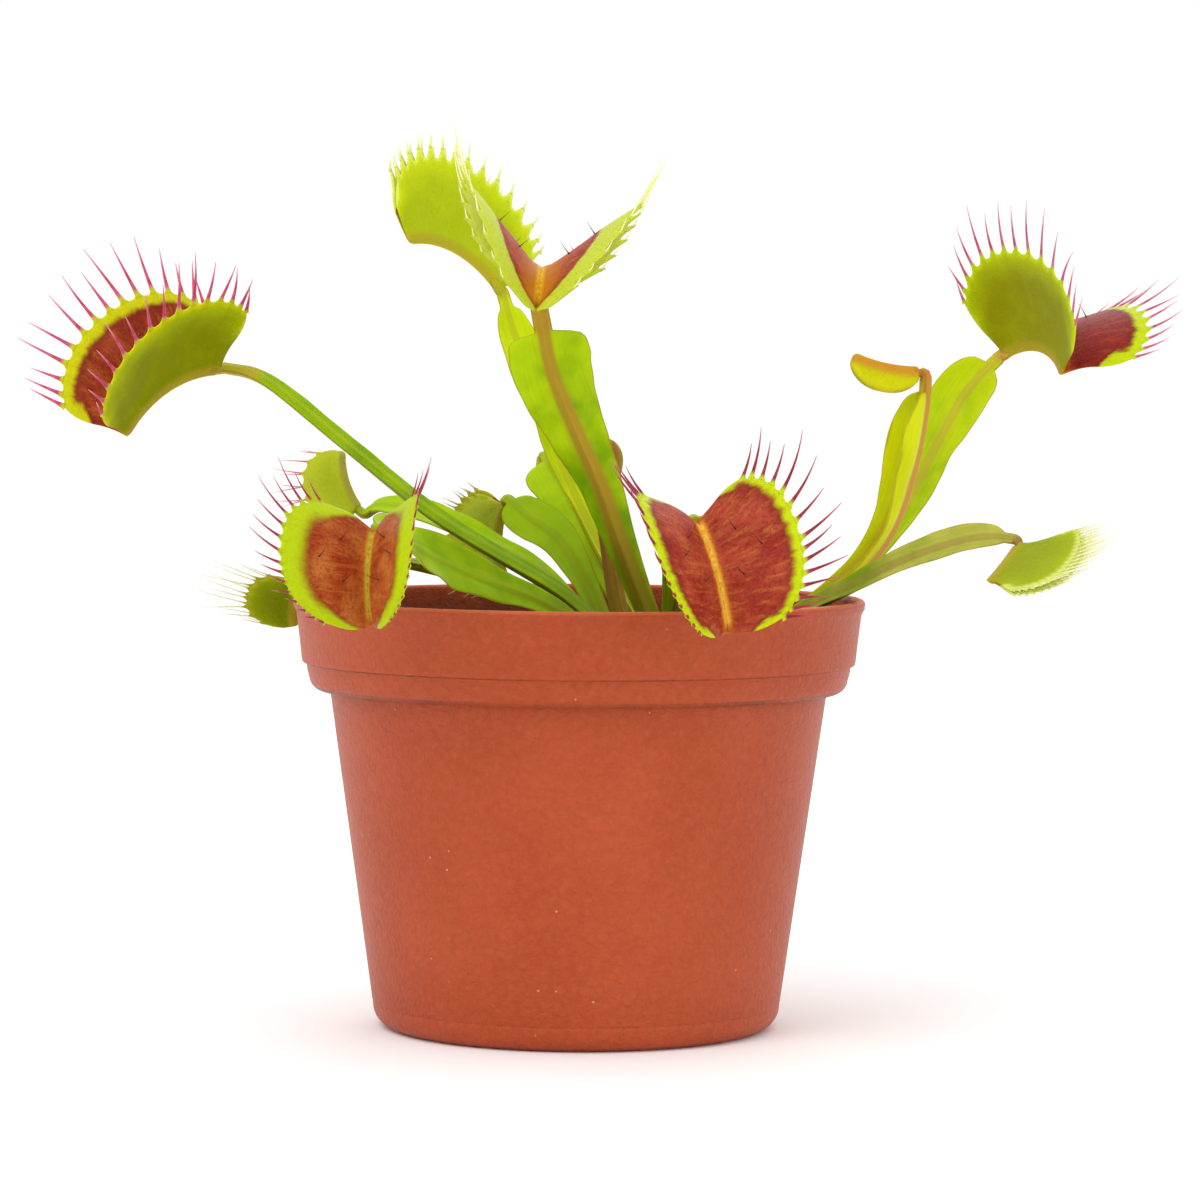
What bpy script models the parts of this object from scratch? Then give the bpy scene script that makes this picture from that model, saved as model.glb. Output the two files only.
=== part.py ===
"""Potted Venus flytrap, at its real size, for Blender 4.5.

A small plant in a moulded plastic nursery pot. The origin is the centre of the pot's base, +Z is up and
-Y is the plant's front. Lengths are named in millimetres and turned to metres once, where a mesh is made.
Every leaf is two pieces: its flat winged stalk, the petiole, and the two-lobed trap at the stalk's end.
"""

import math

import bmesh
import bpy
from mathutils import Vector

MM = 0.001
GAP = 0.3  # clearance between pieces that touch on the real plant

# ---- driving dimensions of the pot, in millimetres ----
RIM_RADIUS = 42.5
POT_HEIGHT = 64.0
WALL = 1.0
FOOT_OUTER_RADIUS = 27.0
FLOOR = 2.0
CHANNEL_INNER_RADIUS = 11.0  # a shallow ring channel holds the drain holes clear of the surface below
CHANNEL_OUTER_RADIUS = 19.0
CHANNEL_DEPTH = 1.0
CORNER_RADIUS = 3.3
WALL_FOOT_RADIUS = FOOT_OUTER_RADIUS + CORNER_RADIUS
WALL_TOP_RADIUS = 36.9
BAND_FOOT = 50.2  # height of the rim band's lower edge
BAND_STEP = 54.2  # height of the small step half-way up the band
DRAIN_COUNT = 6
DRAIN_RADIUS = 1.8
DRAIN_CIRCLE = 15.0
POT_SEGMENTS = 48

# ---- soil and crowns ----
SOIL_TOP = 57.0
SOIL_DOME = 1.2
CROWNS = {
    # name: centre and half-axes of the buried bulb that the leaves grow from
    "crown_main": ((8.0, -1.0, 56.0), (10.5, 10.5, 3.2)),
    "crown_side": ((29.0, 0.0, 56.0), (5.5, 7.0, 3.2)),
}

# ---- leaf stalk sections ----
RIB_THICKNESS = 1.9
WING_THICKNESS = 0.8
STALK_STATIONS = 12

# ---- trap sections ----
LOBE_THICKNESS = 0.9
KEEL_THICKNESS = 1.7
LOBE_STATIONS = 10
POD_WIDTH = 5.0
TEETH_ENDS = 1  # stations without a tooth at each end of a lobe's margin

# Each leaf, from its own measurements:
#   crown   the bulb that it grows from
#   route   the stalk's centre line, from the crown to the neck that holds the trap
#   blade   half-width at the base and where widest, where that is along the stalk, half-width of the neck
#   face    the way the stalk's upper side looks, at its base and at its neck
#   cup     how far the wings fold up towards that side, in degrees
#   trap    length of the midrib and width of a lobe, then in degrees half of the gape at the stalk and the
#           free end, the arch of the midrib, how far the margin fans out past each of the midrib's ends, and
#           last how much a lobe bulges: above 0 outward like a shell, below 0 inward like a cushion
#   drop    share of its width that a lobe loses towards the stalk end and towards the free end
#   way     direction of the midrib from the stalk to the free end, and direction in which the mouth opens
#   seat    distance from the end of the neck to the start of the midrib, which leaves a thin gap
#   tooth   length of the longest tooth of the margin
LEAVES = {
    "left_high": dict(
        crown="crown_main",
        route=[
            (5, -3, 58), (-3, -3.5, 65), (-20.5, -4.5, 75.5), (-34, -5.5, 86),
            (-46, -6, 95.5), (-52.2, -6, 97.5),
        ],
        blade=(1.5, 1.8, 0.6, 1.1),
        face=((0.4, -0.5, 0.7), (0.1, -0.6, 0.8)),
        cup=15,
        trap=(19.9, 13.7, 29, 28, 58, (20, 21), -0.2),
        drop=(0.30, 0.34),
        way=((-0.67, -0.54, -0.51), (-0.32, -0.40, 0.86)),
        seat=0.9,
        tooth=7.0,
    ),
    "back_high": dict(
        crown="crown_main",
        route=[
            (10.2, 3.5, 58), (4.4, 9, 68), (-2.2, 15, 81), (-6.7, 17, 93),
            (-10.4, 17.7, 103), (-12.2, 17.9, 109),
        ],
        blade=(1.6, 3.8, 0.70, 1.2),
        face=((0.6, -0.5, 0.3), (0.3, -0.9, 0.2)),
        cup=30,
        trap=(19.5, 14.6, 6, 3, 75, (9, -6), 0.3),
        drop=(0.38, 0.41),
        way=((-0.74, -0.54, 0.40), (0.04, 0.55, 0.83)),
        seat=0.7,
        tooth=3.0,
    ),
    "front_high": dict(
        crown="crown_main",
        route=[
            (11.7, -3, 58), (9.4, -5, 63.5), (5.8, -8, 73), (2.9, -9, 81),
            (-0.7, -10, 89), (-4, -11, 97), (-5.5, -12.5, 103.6), (-6.2, -12.8, 107.5),
        ],
        blade=(1.7, 6.3, 0.83, 1.35),
        shoulder=(0.91, 5),
        face=((0.1, 1, 0.2), (0.0, 1, -0.1)),
        cup=12,
        trap=(19, 15.8, 58, 34, 110, (3, 14), 0.0),
        drop=(0.59, 0.72),
        way=((0.0, -1.0, -0.15), (0.13, 0.05, 1.0)),
        seat=1.2,
        tooth=6.0,
    ),
    "right_high": dict(
        crown="crown_side",
        route=[
            (30, 3, 58), (34, 6, 61), (41, 9, 67), (48, 11, 75.3),
            (53.7, 13, 86), (58.3, 14, 94.5), (63.3, 13.4, 100.0),
        ],
        blade=(1.8, 5.0, 0.8, 1.1),
        face=((-0.6, -0.6, 0.5), (-0.3, -0.9, 0.3)),
        cup=14,
        trap=(17.2, 15.4, 57, 32, 80, (13, 23), -0.25),
        drop=(0.47, 0.38),
        way=((0.47, -0.87, -0.17), (0.40, 0.03, 0.92)),
        seat=0.9,
        tooth=7.0,
    ),
    "right_young": dict(
        crown="crown_side",
        route=[
            (29, -1, 58), (32, -2, 61), (37.5, -2.5, 65), (43, -3, 70),
            (46.8, -4, 76.5), (49.7, -5, 87), (50.9, -5, 96.3),
        ],
        blade=(1.6, 4.6, 0.75, 0.9),
        face=((-0.7, -0.4, 0.5), (-0.9, -0.4, 0.0)),
        cup=52,
        trap=(10.5, 3.6, 12, 9, 25, (-12, -12), 1.0),
        drop=(0.46, 0.46),
        way=((-0.96, -0.2, 0.22), (-0.2, 0.0, -1.0)),
        seat=1.8,
        tooth=0.0,
    ),
    "right_low": dict(
        crown="crown_side",
        route=[
            (29.5, -4.5, 58), (33.5, -8, 62.8), (39.6, -12, 66.2), (46.6, -16, 70),
            (53.5, -19.5, 72.8), (58.5, -22, 74), (62.4, -23, 73.8),
        ],
        blade=(1.4, 2.6, 0.72, 0.9),
        face=((0.1, -0.7, 0.7), (-0.1, -0.9, 0.5)),
        cup=25,
        trap=(11.3, 9.8, 4, 3, 8, (38, 38), 0.9),
        drop=(0.09, 0.54),
        way=((-0.44, -0.78, -0.43), (0.88, -0.48, -0.03)),
        seat=1.7,
        tooth=3.0,
    ),
    "front_left": dict(
        crown="crown_main",
        route=[
            (2.5, -7, 58), (-4.5, -14, 63.3), (-13, -21, 67), (-21, -29, 70.8),
            (-26, -38, 74.6), (-27.8, -43.9, 75.6),
        ],
        blade=(1.7, 4.4, 0.6, 1.0),
        face=((0.3, -0.5, 0.8), (0.0, -0.4, 0.9)),
        cup=10,
        trap=(13.9, 14.5, 46, 34, 65, (19, -14), -0.25),
        drop=(0.51, 0.55),
        way=((-0.01, -0.29, -0.96), (-0.25, -0.93, 0.28)),
        seat=1.3,
        tooth=5.5,
    ),
    "front_right": dict(
        crown="crown_main",
        route=[
            (13.5, -7, 58), (14, -13, 64), (14.5, -22, 70.5), (15.5, -33, 75.8),
            (16, -43.2, 77.2),
        ],
        blade=(1.7, 3.2, 0.6, 1.0),
        face=((0.1, 0.5, 0.9), (0.0, 0.2, 1.0)),
        cup=10,
        trap=(16.9, 13.8, 52, 43, 44, (51, 1), -0.25),
        drop=(0.41, 0.44),
        way=((0.26, -0.33, -0.91), (0.23, -0.89, 0.39)),
        seat=1.3,
        tooth=6.0,
    ),
    "left_low": dict(
        crown="crown_main",
        route=[
            (0.6, 4.2, 59.0), (-8, 12.3, 63.8), (-20, 19, 66.8), (-31, 23.5, 68.2),
            (-42, 27, 64.9),
        ],
        blade=(1.3, 2.3, 0.6, 0.9),
        face=((0.0, 0.0, 1.0), (-0.2, 0.0, 1.0)),
        cup=10,
        trap=(6.5, 7.6, 13, 11, 40, (-6, -6), 0.8),
        drop=(0.46, 0.6),
        way=((-0.2, 0.1, -0.97), (-0.97, 0.0, -0.2)),
        seat=1.4,
        tooth=5.5,
    ),
    "left_back": dict(
        crown="crown_main",
        route=[
            (3.5, 1, 58), (-6, 7, 67.3), (-15, 10, 72), (-23, 12.5, 75.6),
            (-30, 15, 76.8), (-32.8, 16.5, 75.6),
        ],
        blade=(1.6, 2.9, 0.6, 0.9),
        face=((0.3, -0.5, 0.8), (0.1, -0.6, 0.8)),
        cup=14,
        trap=(9.5, 6.2, 12, 10, 40, (10, 10), 0.8),
        drop=(0.6, 0.7),
        way=((-0.28, 0.1, 0.95), (-0.95, 0.1, -0.28)),
        seat=1.3,
        tooth=4.0,
    ),
    "back_left": dict(
        crown="crown_main",
        route=[
            (4.4, 5, 58), (1.2, 10, 65), (-3, 17, 71.5), (-8, 22, 75),
            (-11.2, 26, 77.6),
        ],
        blade=(1.5, 3.7, 0.72, 0.9),
        face=((-0.3, -0.7, 0.6), (-0.1, -0.8, 0.6)),
        cup=10,
        trap=(13.5, 7.5, 14, 12, 45, (20, 10), 0.8),
        drop=(0.46, 0.6),
        way=((0.05, 0.25, -0.97), (-0.97, 0.1, -0.05)),
        seat=1.6,
        tooth=2.5,
    ),
    "back_centre": dict(
        crown="crown_main",
        route=[
            (8.5, 7.5, 58), (4.5, 15, 66), (0, 23, 75), (-4, 29, 81.5),
            (-5.6, 32.5, 84),
        ],
        blade=(1.5, 4.8, 0.84, 0.8),
        face=((0.0, -0.8, 0.5), (0.0, -0.9, 0.3)),
        cup=12,
        trap=(7.5, 3.4, 12, 9, 25, (-12, -12), 1.0),
        drop=(0.46, 0.46),
        way=((-0.1, 0.95, -0.30), (0.1, -0.30, -0.95)),
        seat=1.9,
        tooth=0.0,
    ),
    "centre_young": dict(
        crown="crown_main",
        route=[
            (7.0, -0.5, 58), (5.4, 0.2, 64), (4.2, 1.2, 71), (3.2, 2.2, 77),
            (3.1, 3, 80),
        ],
        blade=(1.7, 2.2, 0.4, 1.0),
        face=((0.9, -0.2, 0.2), (0.9, -0.3, 0.1)),
        cup=35,
        trap=(7, 2.6, 12, 9, 20, (-12, -12), 1.0),
        drop=(0.46, 0.46),
        way=((0.10, 0.05, 1.0), (0.95, -0.2, -0.1)),
        seat=0.5,
        tooth=0.0,
    ),
}


def clear_scene():
    for obj in list(bpy.data.objects):
        bpy.data.objects.remove(obj, do_unlink=True)


def material(name, colour, roughness):
    """A plain Principled finish; colour is linear red, green and blue."""
    made = bpy.data.materials.new(name)
    made.use_nodes = True
    shader = made.node_tree.nodes["Principled BSDF"]
    shader.inputs["Base Color"].default_value = (*colour, 1.0)
    shader.inputs["Roughness"].default_value = roughness
    shader.inputs["Metallic"].default_value = 0.0
    return made


def node(name, mesh, finish, flat_above=35):
    """Turns a bmesh in millimetres into a named object in metres."""
    bmesh.ops.scale(mesh, vec=(MM, MM, MM), verts=mesh.verts)
    bmesh.ops.recalc_face_normals(mesh, faces=mesh.faces)
    data = bpy.data.meshes.new(name)
    mesh.to_mesh(data)
    mesh.free()
    data.materials.append(finish)
    data.shade_smooth()
    data.set_sharp_from_angle(angle=math.radians(flat_above))
    made = bpy.data.objects.new(name, data)
    bpy.context.scene.collection.objects.link(made)
    return made


def cutter(name, mesh, finish):
    made = node(name, mesh, finish)
    made.hide_render = True
    made.display_type = "WIRE"
    return made


def cut(target, tool):
    boolean = target.modifiers.new("cut_" + tool.name, "BOOLEAN")
    boolean.operation = "DIFFERENCE"
    boolean.solver = "EXACT"
    boolean.object = tool


def arc(centre, radius, start, end, steps):
    """Points (r, z) of a circular arc, angles in degrees from +r."""
    turn = [math.radians(start + (end - start) * k / steps) for k in range(steps + 1)]
    return [(centre[0] + radius * math.cos(a), centre[1] + radius * math.sin(a)) for a in turn]


def turned(profile, segments=POT_SEGMENTS):
    """A closed solid of revolution; the profile runs from the axis round the section and back to it."""
    mesh = bmesh.new()
    verts = [mesh.verts.new((r, 0.0, z)) for r, z in profile]
    edges = [mesh.edges.new(pair) for pair in zip(verts, verts[1:])]
    bmesh.ops.spin(
        mesh,
        geom=verts + edges,
        cent=(0, 0, 0),
        axis=(0, 0, 1),
        angle=2 * math.pi,
        steps=segments,
        use_merge=True,
    )
    bmesh.ops.remove_doubles(mesh, verts=mesh.verts, dist=1e-4)
    return mesh


def inner_wall():
    """The pot's inner section (r, z), from the lip down to the floor's edge."""
    return [
        (RIM_RADIUS - 1.4, POT_HEIGHT - 0.5),
        (RIM_RADIUS - 1.5, POT_HEIGHT - 2.0),
        (RIM_RADIUS - 2.3, BAND_STEP + 0.6),
        (RIM_RADIUS - 3.1, BAND_STEP + 0.1),
        (RIM_RADIUS - 3.5, BAND_FOOT + 2.3),
        (RIM_RADIUS - 4.4, BAND_FOOT + 1.3),
        (WALL_TOP_RADIUS - 0.9, BAND_FOOT + 0.8),
        (WALL_FOOT_RADIUS - WALL, CORNER_RADIUS + 0.9),
        (WALL_FOOT_RADIUS - 1.9, FLOOR + 0.5),
        (FOOT_OUTER_RADIUS, FLOOR),
    ]


def make_pot(finish):
    foot = [
        (0.0, 0.0),
        (CHANNEL_INNER_RADIUS, 0.0),
        (CHANNEL_INNER_RADIUS + 0.8, CHANNEL_DEPTH),
        (CHANNEL_OUTER_RADIUS - 0.8, CHANNEL_DEPTH),
        (CHANNEL_OUTER_RADIUS, 0.0),
    ]
    corner = arc((FOOT_OUTER_RADIUS, CORNER_RADIUS), CORNER_RADIUS, -90, -5, 5)
    band = [
        (WALL_TOP_RADIUS, BAND_FOOT - 0.2),
        *arc((RIM_RADIUS - 4.6, BAND_FOOT + 2.0), 2.0, -90, -5, 3),
        (RIM_RADIUS - 2.2, BAND_STEP - 0.3),
        (RIM_RADIUS - 1.4, BAND_STEP + 0.3),
        (RIM_RADIUS - 0.4, POT_HEIGHT - 1.7),
    ]
    lip = arc((RIM_RADIUS - 0.7, POT_HEIGHT - 0.7), 0.7, -30, 180, 5)
    pot = node("pot", turned(foot + corner + band + lip + inner_wall() + [(0.0, FLOOR)]), finish)
    for k in range(DRAIN_COUNT):
        turn = 2 * math.pi * k / DRAIN_COUNT
        mesh = bmesh.new()
        bmesh.ops.create_cone(
            mesh, cap_ends=True, segments=12, radius1=DRAIN_RADIUS, radius2=DRAIN_RADIUS, depth=6.0
        )
        spot = (DRAIN_CIRCLE * math.cos(turn), DRAIN_CIRCLE * math.sin(turn), CHANNEL_DEPTH)
        bmesh.ops.translate(mesh, vec=spot, verts=mesh.verts)
        cut(pot, cutter(f"drain_hole_{k + 1}", mesh, finish))
    return pot


def ellipsoid(centre, axes, grow=0.0):
    mesh = bmesh.new()
    bmesh.ops.create_uvsphere(mesh, u_segments=20, v_segments=10, radius=1.0)
    bmesh.ops.scale(mesh, vec=[a + grow for a in axes], verts=mesh.verts)
    bmesh.ops.translate(mesh, vec=centre, verts=mesh.verts)
    return mesh


def make_soil(finish, pockets):
    """The root ball: it fills the pot up to just below the rim, with a pocket for each crown."""
    side = [(r - GAP, z) for r, z in inner_wall() if z < SOIL_TOP - 1.5]
    floor = FLOOR + GAP
    side[-1] = (side[-1][0], floor)
    edge = (side[0][0] + 0.1, SOIL_TOP - 1.0)
    top = [(edge[0] - 1.5, SOIL_TOP - 0.3), (edge[0] * 0.6, SOIL_TOP + 0.1), (0.0, SOIL_TOP + 0.1)]
    profile = [(0.0, floor), *side[::-1], edge, *top]
    soil = node("soil", turned(profile), finish)
    for pocket in pockets:
        cut(soil, pocket)
    return soil


def smooth_route(points, steps):
    """Even steps along a Catmull-Rom curve through the points."""
    knots = [Vector(p) for p in points]
    ends = [2 * knots[0] - knots[1], *knots, 2 * knots[-1] - knots[-2]]
    fine = []
    for a, b, c, d in zip(ends, ends[1:], ends[2:], ends[3:]):
        for k in range(24):
            t = k / 24
            fine.append(
                b
                + 0.5 * t * ((c - a) + t * (2 * a - 5 * b + 4 * c - d) + t**2 * (3 * b - a - 3 * c + d))
            )
    fine.append(knots[-1])
    run = [0.0]
    for p, q in zip(fine, fine[1:]):
        run.append(run[-1] + (q - p).length)
    placed = []
    for t in steps:
        want = t * run[-1]
        k = max(i for i in range(len(run) - 1) if run[i] <= want or i == 0)
        share = (want - run[k]) / (run[k + 1] - run[k])
        placed.append(fine[k].lerp(fine[k + 1], share))
    return placed


def half_width(t, leaf):
    """The stalk's half-width: a slow swell to the widest place, then a round shoulder down to the neck."""
    base, widest, peak, neck = leaf["blade"]
    top, squareness = leaf.get("shoulder", (0.96, 3))
    if t <= peak:
        return base + (widest - base) * (t / peak) ** 1.8
    shoulder = (t - peak) / (top - peak)
    if shoulder >= 1:
        return neck
    return neck + (widest - neck) * math.sqrt(1 - shoulder**squareness)


def slab(stations, across):
    """A closed slab of stations by across cells. Each corner's x and y lie in -0.5..0.5, and z is 0 or 1."""
    mesh = bmesh.new()
    bmesh.ops.create_grid(mesh, x_segments=stations, y_segments=across, size=0.5)
    made = bmesh.ops.extrude_face_region(mesh, geom=mesh.faces[:], use_keep_orig=True)["geom"]
    upper = [g for g in made if isinstance(g, bmesh.types.BMVert)]
    bmesh.ops.translate(mesh, vec=(0, 0, 1), verts=upper)
    bmesh.ops.recalc_face_normals(mesh, faces=mesh.faces)
    return mesh


def stalk_time(share):
    """Stations crowd towards the neck, where the shoulder turns quickly."""
    return 1 - (1 - share) ** 1.5


def make_petiole(name, leaf, finish, pocket):
    base, widest, peak, neck = leaf["blade"]
    times = [stalk_time(k / STALK_STATIONS) for k in range(STALK_STATIONS + 1)]
    centres = smooth_route(leaf["route"], times)
    ways = smooth_route(leaf["route"], [min(1, t + 0.01) for t in times])
    before = smooth_route(leaf["route"], [max(0, t - 0.01) for t in times])
    face_base, face_neck = (Vector(v).normalized() for v in leaf["face"])
    cup = math.radians(leaf["cup"])
    mesh = slab(STALK_STATIONS, 4)
    for vert in mesh.verts:
        k = round((vert.co.x + 0.5) * STALK_STATIONS)
        side = 2 * vert.co.y
        side = math.copysign(abs(side) ** 1.4, side)
        along = (ways[k] - before[k]).normalized()
        across = along.cross(face_base.lerp(face_neck, times[k])).normalized()
        up = across.cross(along)
        reach = half_width(times[k], leaf)
        middle = RIB_THICKNESS if abs(side) < 0.1 else WING_THICKNESS * (1.25 if abs(side) < 0.9 else 0.8)
        offset = across * side * reach * math.cos(cup) + up * abs(side) * reach * math.sin(cup)
        vert.co = centres[k] + offset - up * middle * (0.85 - vert.co.z)
    made = node(f"petiole_{name}", mesh, finish, 50)
    cut(made, pocket)
    return made


def trap_frame(leaf):
    """The trap's own axes: along its midrib, out of its mouth, and across."""
    along, mouth = (Vector(v) for v in leaf["way"])
    along.normalize()
    mouth = (mouth - mouth.dot(along) * along).normalized()
    return along, mouth, along.cross(mouth)


def trap_point(leaf, root, u, v):
    """A point on a trap's middle surface: u runs along the midrib, |v| from the midrib to the margin."""
    length, width, gape_stalk, gape_end, arch, flares, bulge = leaf["trap"]
    along, mouth, across = trap_frame(leaf)
    bend = math.radians(arch)
    radius = length / bend
    reach = abs(v)
    turn = bend * (u - 0.5)
    spine = root + along * radius * (math.sin(turn) + math.sin(bend / 2))
    spine += mouth * radius * (math.cos(turn) - math.cos(bend / 2))
    end = 0 if u < 0.5 else 1
    turn += math.radians(flares[end]) * (2 * u - 1) * reach
    fan = mouth * math.cos(turn) + along * math.sin(turn)
    gape = math.radians(gape_stalk + (gape_end - gape_stalk) * u) * (1 + bulge * (1 - reach))
    lobe = width * (1 - leaf["drop"][end] * abs(2 * u - 1) ** 2.4)
    side = math.copysign(1, v) if v else 0.0
    return spine + (across * side * math.sin(gape) + fan * math.cos(gape)) * lobe * reach


def surface_normal(leaf, root, u, v):
    step = 0.01
    du = trap_point(leaf, root, u + step, v) - trap_point(leaf, root, u - step, v)
    v = max(-1 + step, min(1 - step, v))
    dv = trap_point(leaf, root, u, v + step) - trap_point(leaf, root, u, v - step)
    return du.cross(dv).normalized()


def trap_root(leaf):
    """Where the midrib starts: just past the neck's end, between the stalk's direction and the trap's."""
    neck, before = Vector(leaf["route"][-1]), Vector(leaf["route"][-2])
    out = (neck - before).normalized()
    along = trap_frame(leaf)[0]
    return neck + (out + along).normalized() * leaf["seat"]


def solid_pod(mesh):
    """The convex solid round a mesh: a young trap's lobes are still pressed together into one pod."""
    pod = bmesh.new()
    for vert in mesh.verts:
        pod.verts.new(vert.co)
    mesh.free()
    bmesh.ops.remove_doubles(pod, verts=pod.verts, dist=0.05)
    hull = bmesh.ops.convex_hull(pod, input=pod.verts)
    loose = [g for g in hull["geom_interior"] if isinstance(g, bmesh.types.BMVert)]
    bmesh.ops.delete(pod, geom=loose, context="VERTS")
    bmesh.ops.recalc_face_normals(pod, faces=pod.faces)
    return pod


def make_trap(name, leaf, finish):
    tooth = leaf["tooth"]
    root = trap_root(leaf)
    across = trap_frame(leaf)[2]
    mesh = slab(LOBE_STATIONS, 6)
    margin = []
    for face in mesh.faces:
        middle = face.calc_center_median()
        station = round((middle.x + 0.5) * LOBE_STATIONS - 0.5)
        free = TEETH_ENDS <= station < LOBE_STATIONS - TEETH_ENDS
        if tooth and abs(middle.y) > 0.499 and free:
            margin.append(face)
    tips = {}
    for face in margin:
        middle = face.calc_center_median()
        tip = bmesh.ops.poke(mesh, faces=[face])["verts"][0]
        tips[tip] = (middle.x + 0.5, math.copysign(1, middle.y))
    for vert in mesh.verts:
        if vert in tips:
            continue
        u, v = vert.co.x + 0.5, 2 * vert.co.y
        keel = max(0.0, 1 - abs(v) / 0.4)
        depth = 0.5 * (LOBE_THICKNESS + (KEEL_THICKNESS - LOBE_THICKNESS) * keel)
        point, outward = trap_point(leaf, root, u, v), surface_normal(leaf, root, u, v)
        if vert.co.z > 0.5:
            # the inner face stays on its own side of the plane that the two lobes close on
            room = abs((point - root).dot(across)) / max(abs(outward.dot(across)), 0.05)
            depth = -min(depth, 0.7 * room)
        vert.co = point + outward * depth
    for tip, (u, side) in tips.items():
        edge = trap_point(leaf, root, u, side)
        outward = (edge - trap_point(leaf, root, u, side * 0.8)).normalized()
        tip.co = edge + outward * tooth * (0.35 + 0.65 * math.sin(math.pi * u))
    if leaf["trap"][1] < POD_WIDTH:
        mesh = solid_pod(mesh)
    return node(f"trap_{name}", mesh, finish, 40)


def build():
    clear_scene()
    terracotta = material("pot_plastic", (0.54, 0.10, 0.042), 0.5)
    peat = material("peat", (0.035, 0.022, 0.014), 0.95)
    bulb = material("crown", (0.55, 0.58, 0.22), 0.6)
    stalk = material("petiole", (0.36, 0.56, 0.02), 0.45)
    lobes = material("trap", (0.40, 0.44, 0.03), 0.45)
    make_pot(terracotta)
    pockets = {}
    for name, (centre, axes) in CROWNS.items():
        node(name, ellipsoid(centre, axes), bulb, 60)
        pockets[name] = cutter(name + "_pocket", ellipsoid(centre, axes, GAP), bulb)
    make_soil(peat, pockets.values())
    for name, leaf in LEAVES.items():
        make_petiole(name, leaf, stalk, pockets[leaf["crown"]])
        make_trap(name, leaf, lobes)


build()
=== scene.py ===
# %% [markdown]
# # A Venus flytrap in its nursery pot
#
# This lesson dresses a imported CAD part: a small carnivorous plant in a moulded plastic pot. The CAD solids
# fix every place and size. Each of them is replaced here by a finer piece on the same centre lines, so the
# leaves are smooth, the traps carry their long hairs, and every surface has the colour and grain of the
# living plant.

# %% Load the frame
import functools
import math
import random

import bmesh
import bpy
from mathutils import Matrix, Vector, noise


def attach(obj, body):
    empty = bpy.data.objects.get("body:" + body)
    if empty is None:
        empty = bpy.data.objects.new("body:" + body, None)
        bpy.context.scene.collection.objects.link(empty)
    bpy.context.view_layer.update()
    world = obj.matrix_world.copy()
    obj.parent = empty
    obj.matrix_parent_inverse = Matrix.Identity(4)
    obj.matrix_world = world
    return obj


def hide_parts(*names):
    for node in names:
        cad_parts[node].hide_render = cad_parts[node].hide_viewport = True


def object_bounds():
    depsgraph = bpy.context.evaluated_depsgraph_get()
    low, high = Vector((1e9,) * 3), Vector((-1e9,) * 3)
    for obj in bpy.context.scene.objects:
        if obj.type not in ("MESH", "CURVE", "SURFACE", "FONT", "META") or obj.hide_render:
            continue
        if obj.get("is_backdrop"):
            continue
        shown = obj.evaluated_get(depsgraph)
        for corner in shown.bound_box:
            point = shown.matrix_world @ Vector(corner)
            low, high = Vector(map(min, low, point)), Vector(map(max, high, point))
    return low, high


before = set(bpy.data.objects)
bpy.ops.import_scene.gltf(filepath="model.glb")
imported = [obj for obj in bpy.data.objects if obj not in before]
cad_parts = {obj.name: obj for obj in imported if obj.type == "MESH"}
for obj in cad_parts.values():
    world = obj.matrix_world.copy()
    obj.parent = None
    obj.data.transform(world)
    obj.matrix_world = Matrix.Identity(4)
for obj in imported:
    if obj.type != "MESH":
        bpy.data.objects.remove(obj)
cad_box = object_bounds()
MM = 0.001
print("CAD box in mm:", [[round(c / MM, 1) for c in corner] for corner in cad_box])

# %% [markdown]
# ## Camera and studio
#
# A long lens from well back keeps the pot's sides almost parallel, as in a catalogue picture. The camera
# stands a little above the rim and looks slightly down, so the far side of the rim just shows. It is placed
# by its own three axes, which is easier to read than three turns.


# %% Camera
def aim(place, pitch, roll):
    """A camera matrix that looks along +Y, turned down by pitch and rolled by roll, in degrees."""
    p, r = math.radians(pitch), math.radians(roll)
    forward = Vector((0, math.cos(p), -math.sin(p)))
    side = Vector((1, 0, 0))
    up = side.cross(forward)
    right = side * math.cos(r) + up * math.sin(r)
    top = up * math.cos(r) - side * math.sin(r)
    turn = Matrix((right, top, -forward)).transposed()
    return Matrix.Translation(place) @ turn.to_4x4()


lens = bpy.data.cameras.new("camera")
lens.lens = 137.3
lens.sensor_width = 36.0
lens.clip_start = 0.01
camera = bpy.data.objects.new("camera", lens)
camera.matrix_world = aim(place=(0.0031, -0.680, 0.098), pitch=2.9, roll=0.45)
bpy.context.scene.collection.objects.link(camera)
bpy.context.scene.camera = camera
print("camera", round(camera.location.y, 3), "m from the pot's axis")

# %% [markdown]
# ## Light
#
# Leaves look alive when light comes from all round and some of it passes through them. A white world gives
# the even part. One large softbox above the front gives shape, one low on the right fills, a small one on
# the left puts a soft sheen on the pot's wall that shows its grain, and one behind lights the leaf edges.
# The view transform is the plain one, so a colour taken from a leaf comes out as that colour.

# %% Studio
scene = bpy.context.scene
scene.view_settings.view_transform = "Standard"
world = bpy.data.worlds.new("white_studio")
world.use_nodes = True
sky = world.node_tree.nodes["Background"]
sky.inputs["Color"].default_value = (1.0, 1.0, 1.0, 1.0)
sky.inputs["Strength"].default_value = 1.0
scene.world = world


def softbox(name, place, target, size, watts):
    """A square area light that faces its target."""
    lamp = bpy.data.lights.new(name, "AREA")
    lamp.shape = "SQUARE"
    lamp.size = size
    lamp.energy = watts
    made = bpy.data.objects.new(name, lamp)
    made.location = place
    made.rotation_euler = (Vector(target) - Vector(place)).to_track_quat("-Z", "Y").to_euler()
    bpy.context.scene.collection.objects.link(made)
    return made


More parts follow.
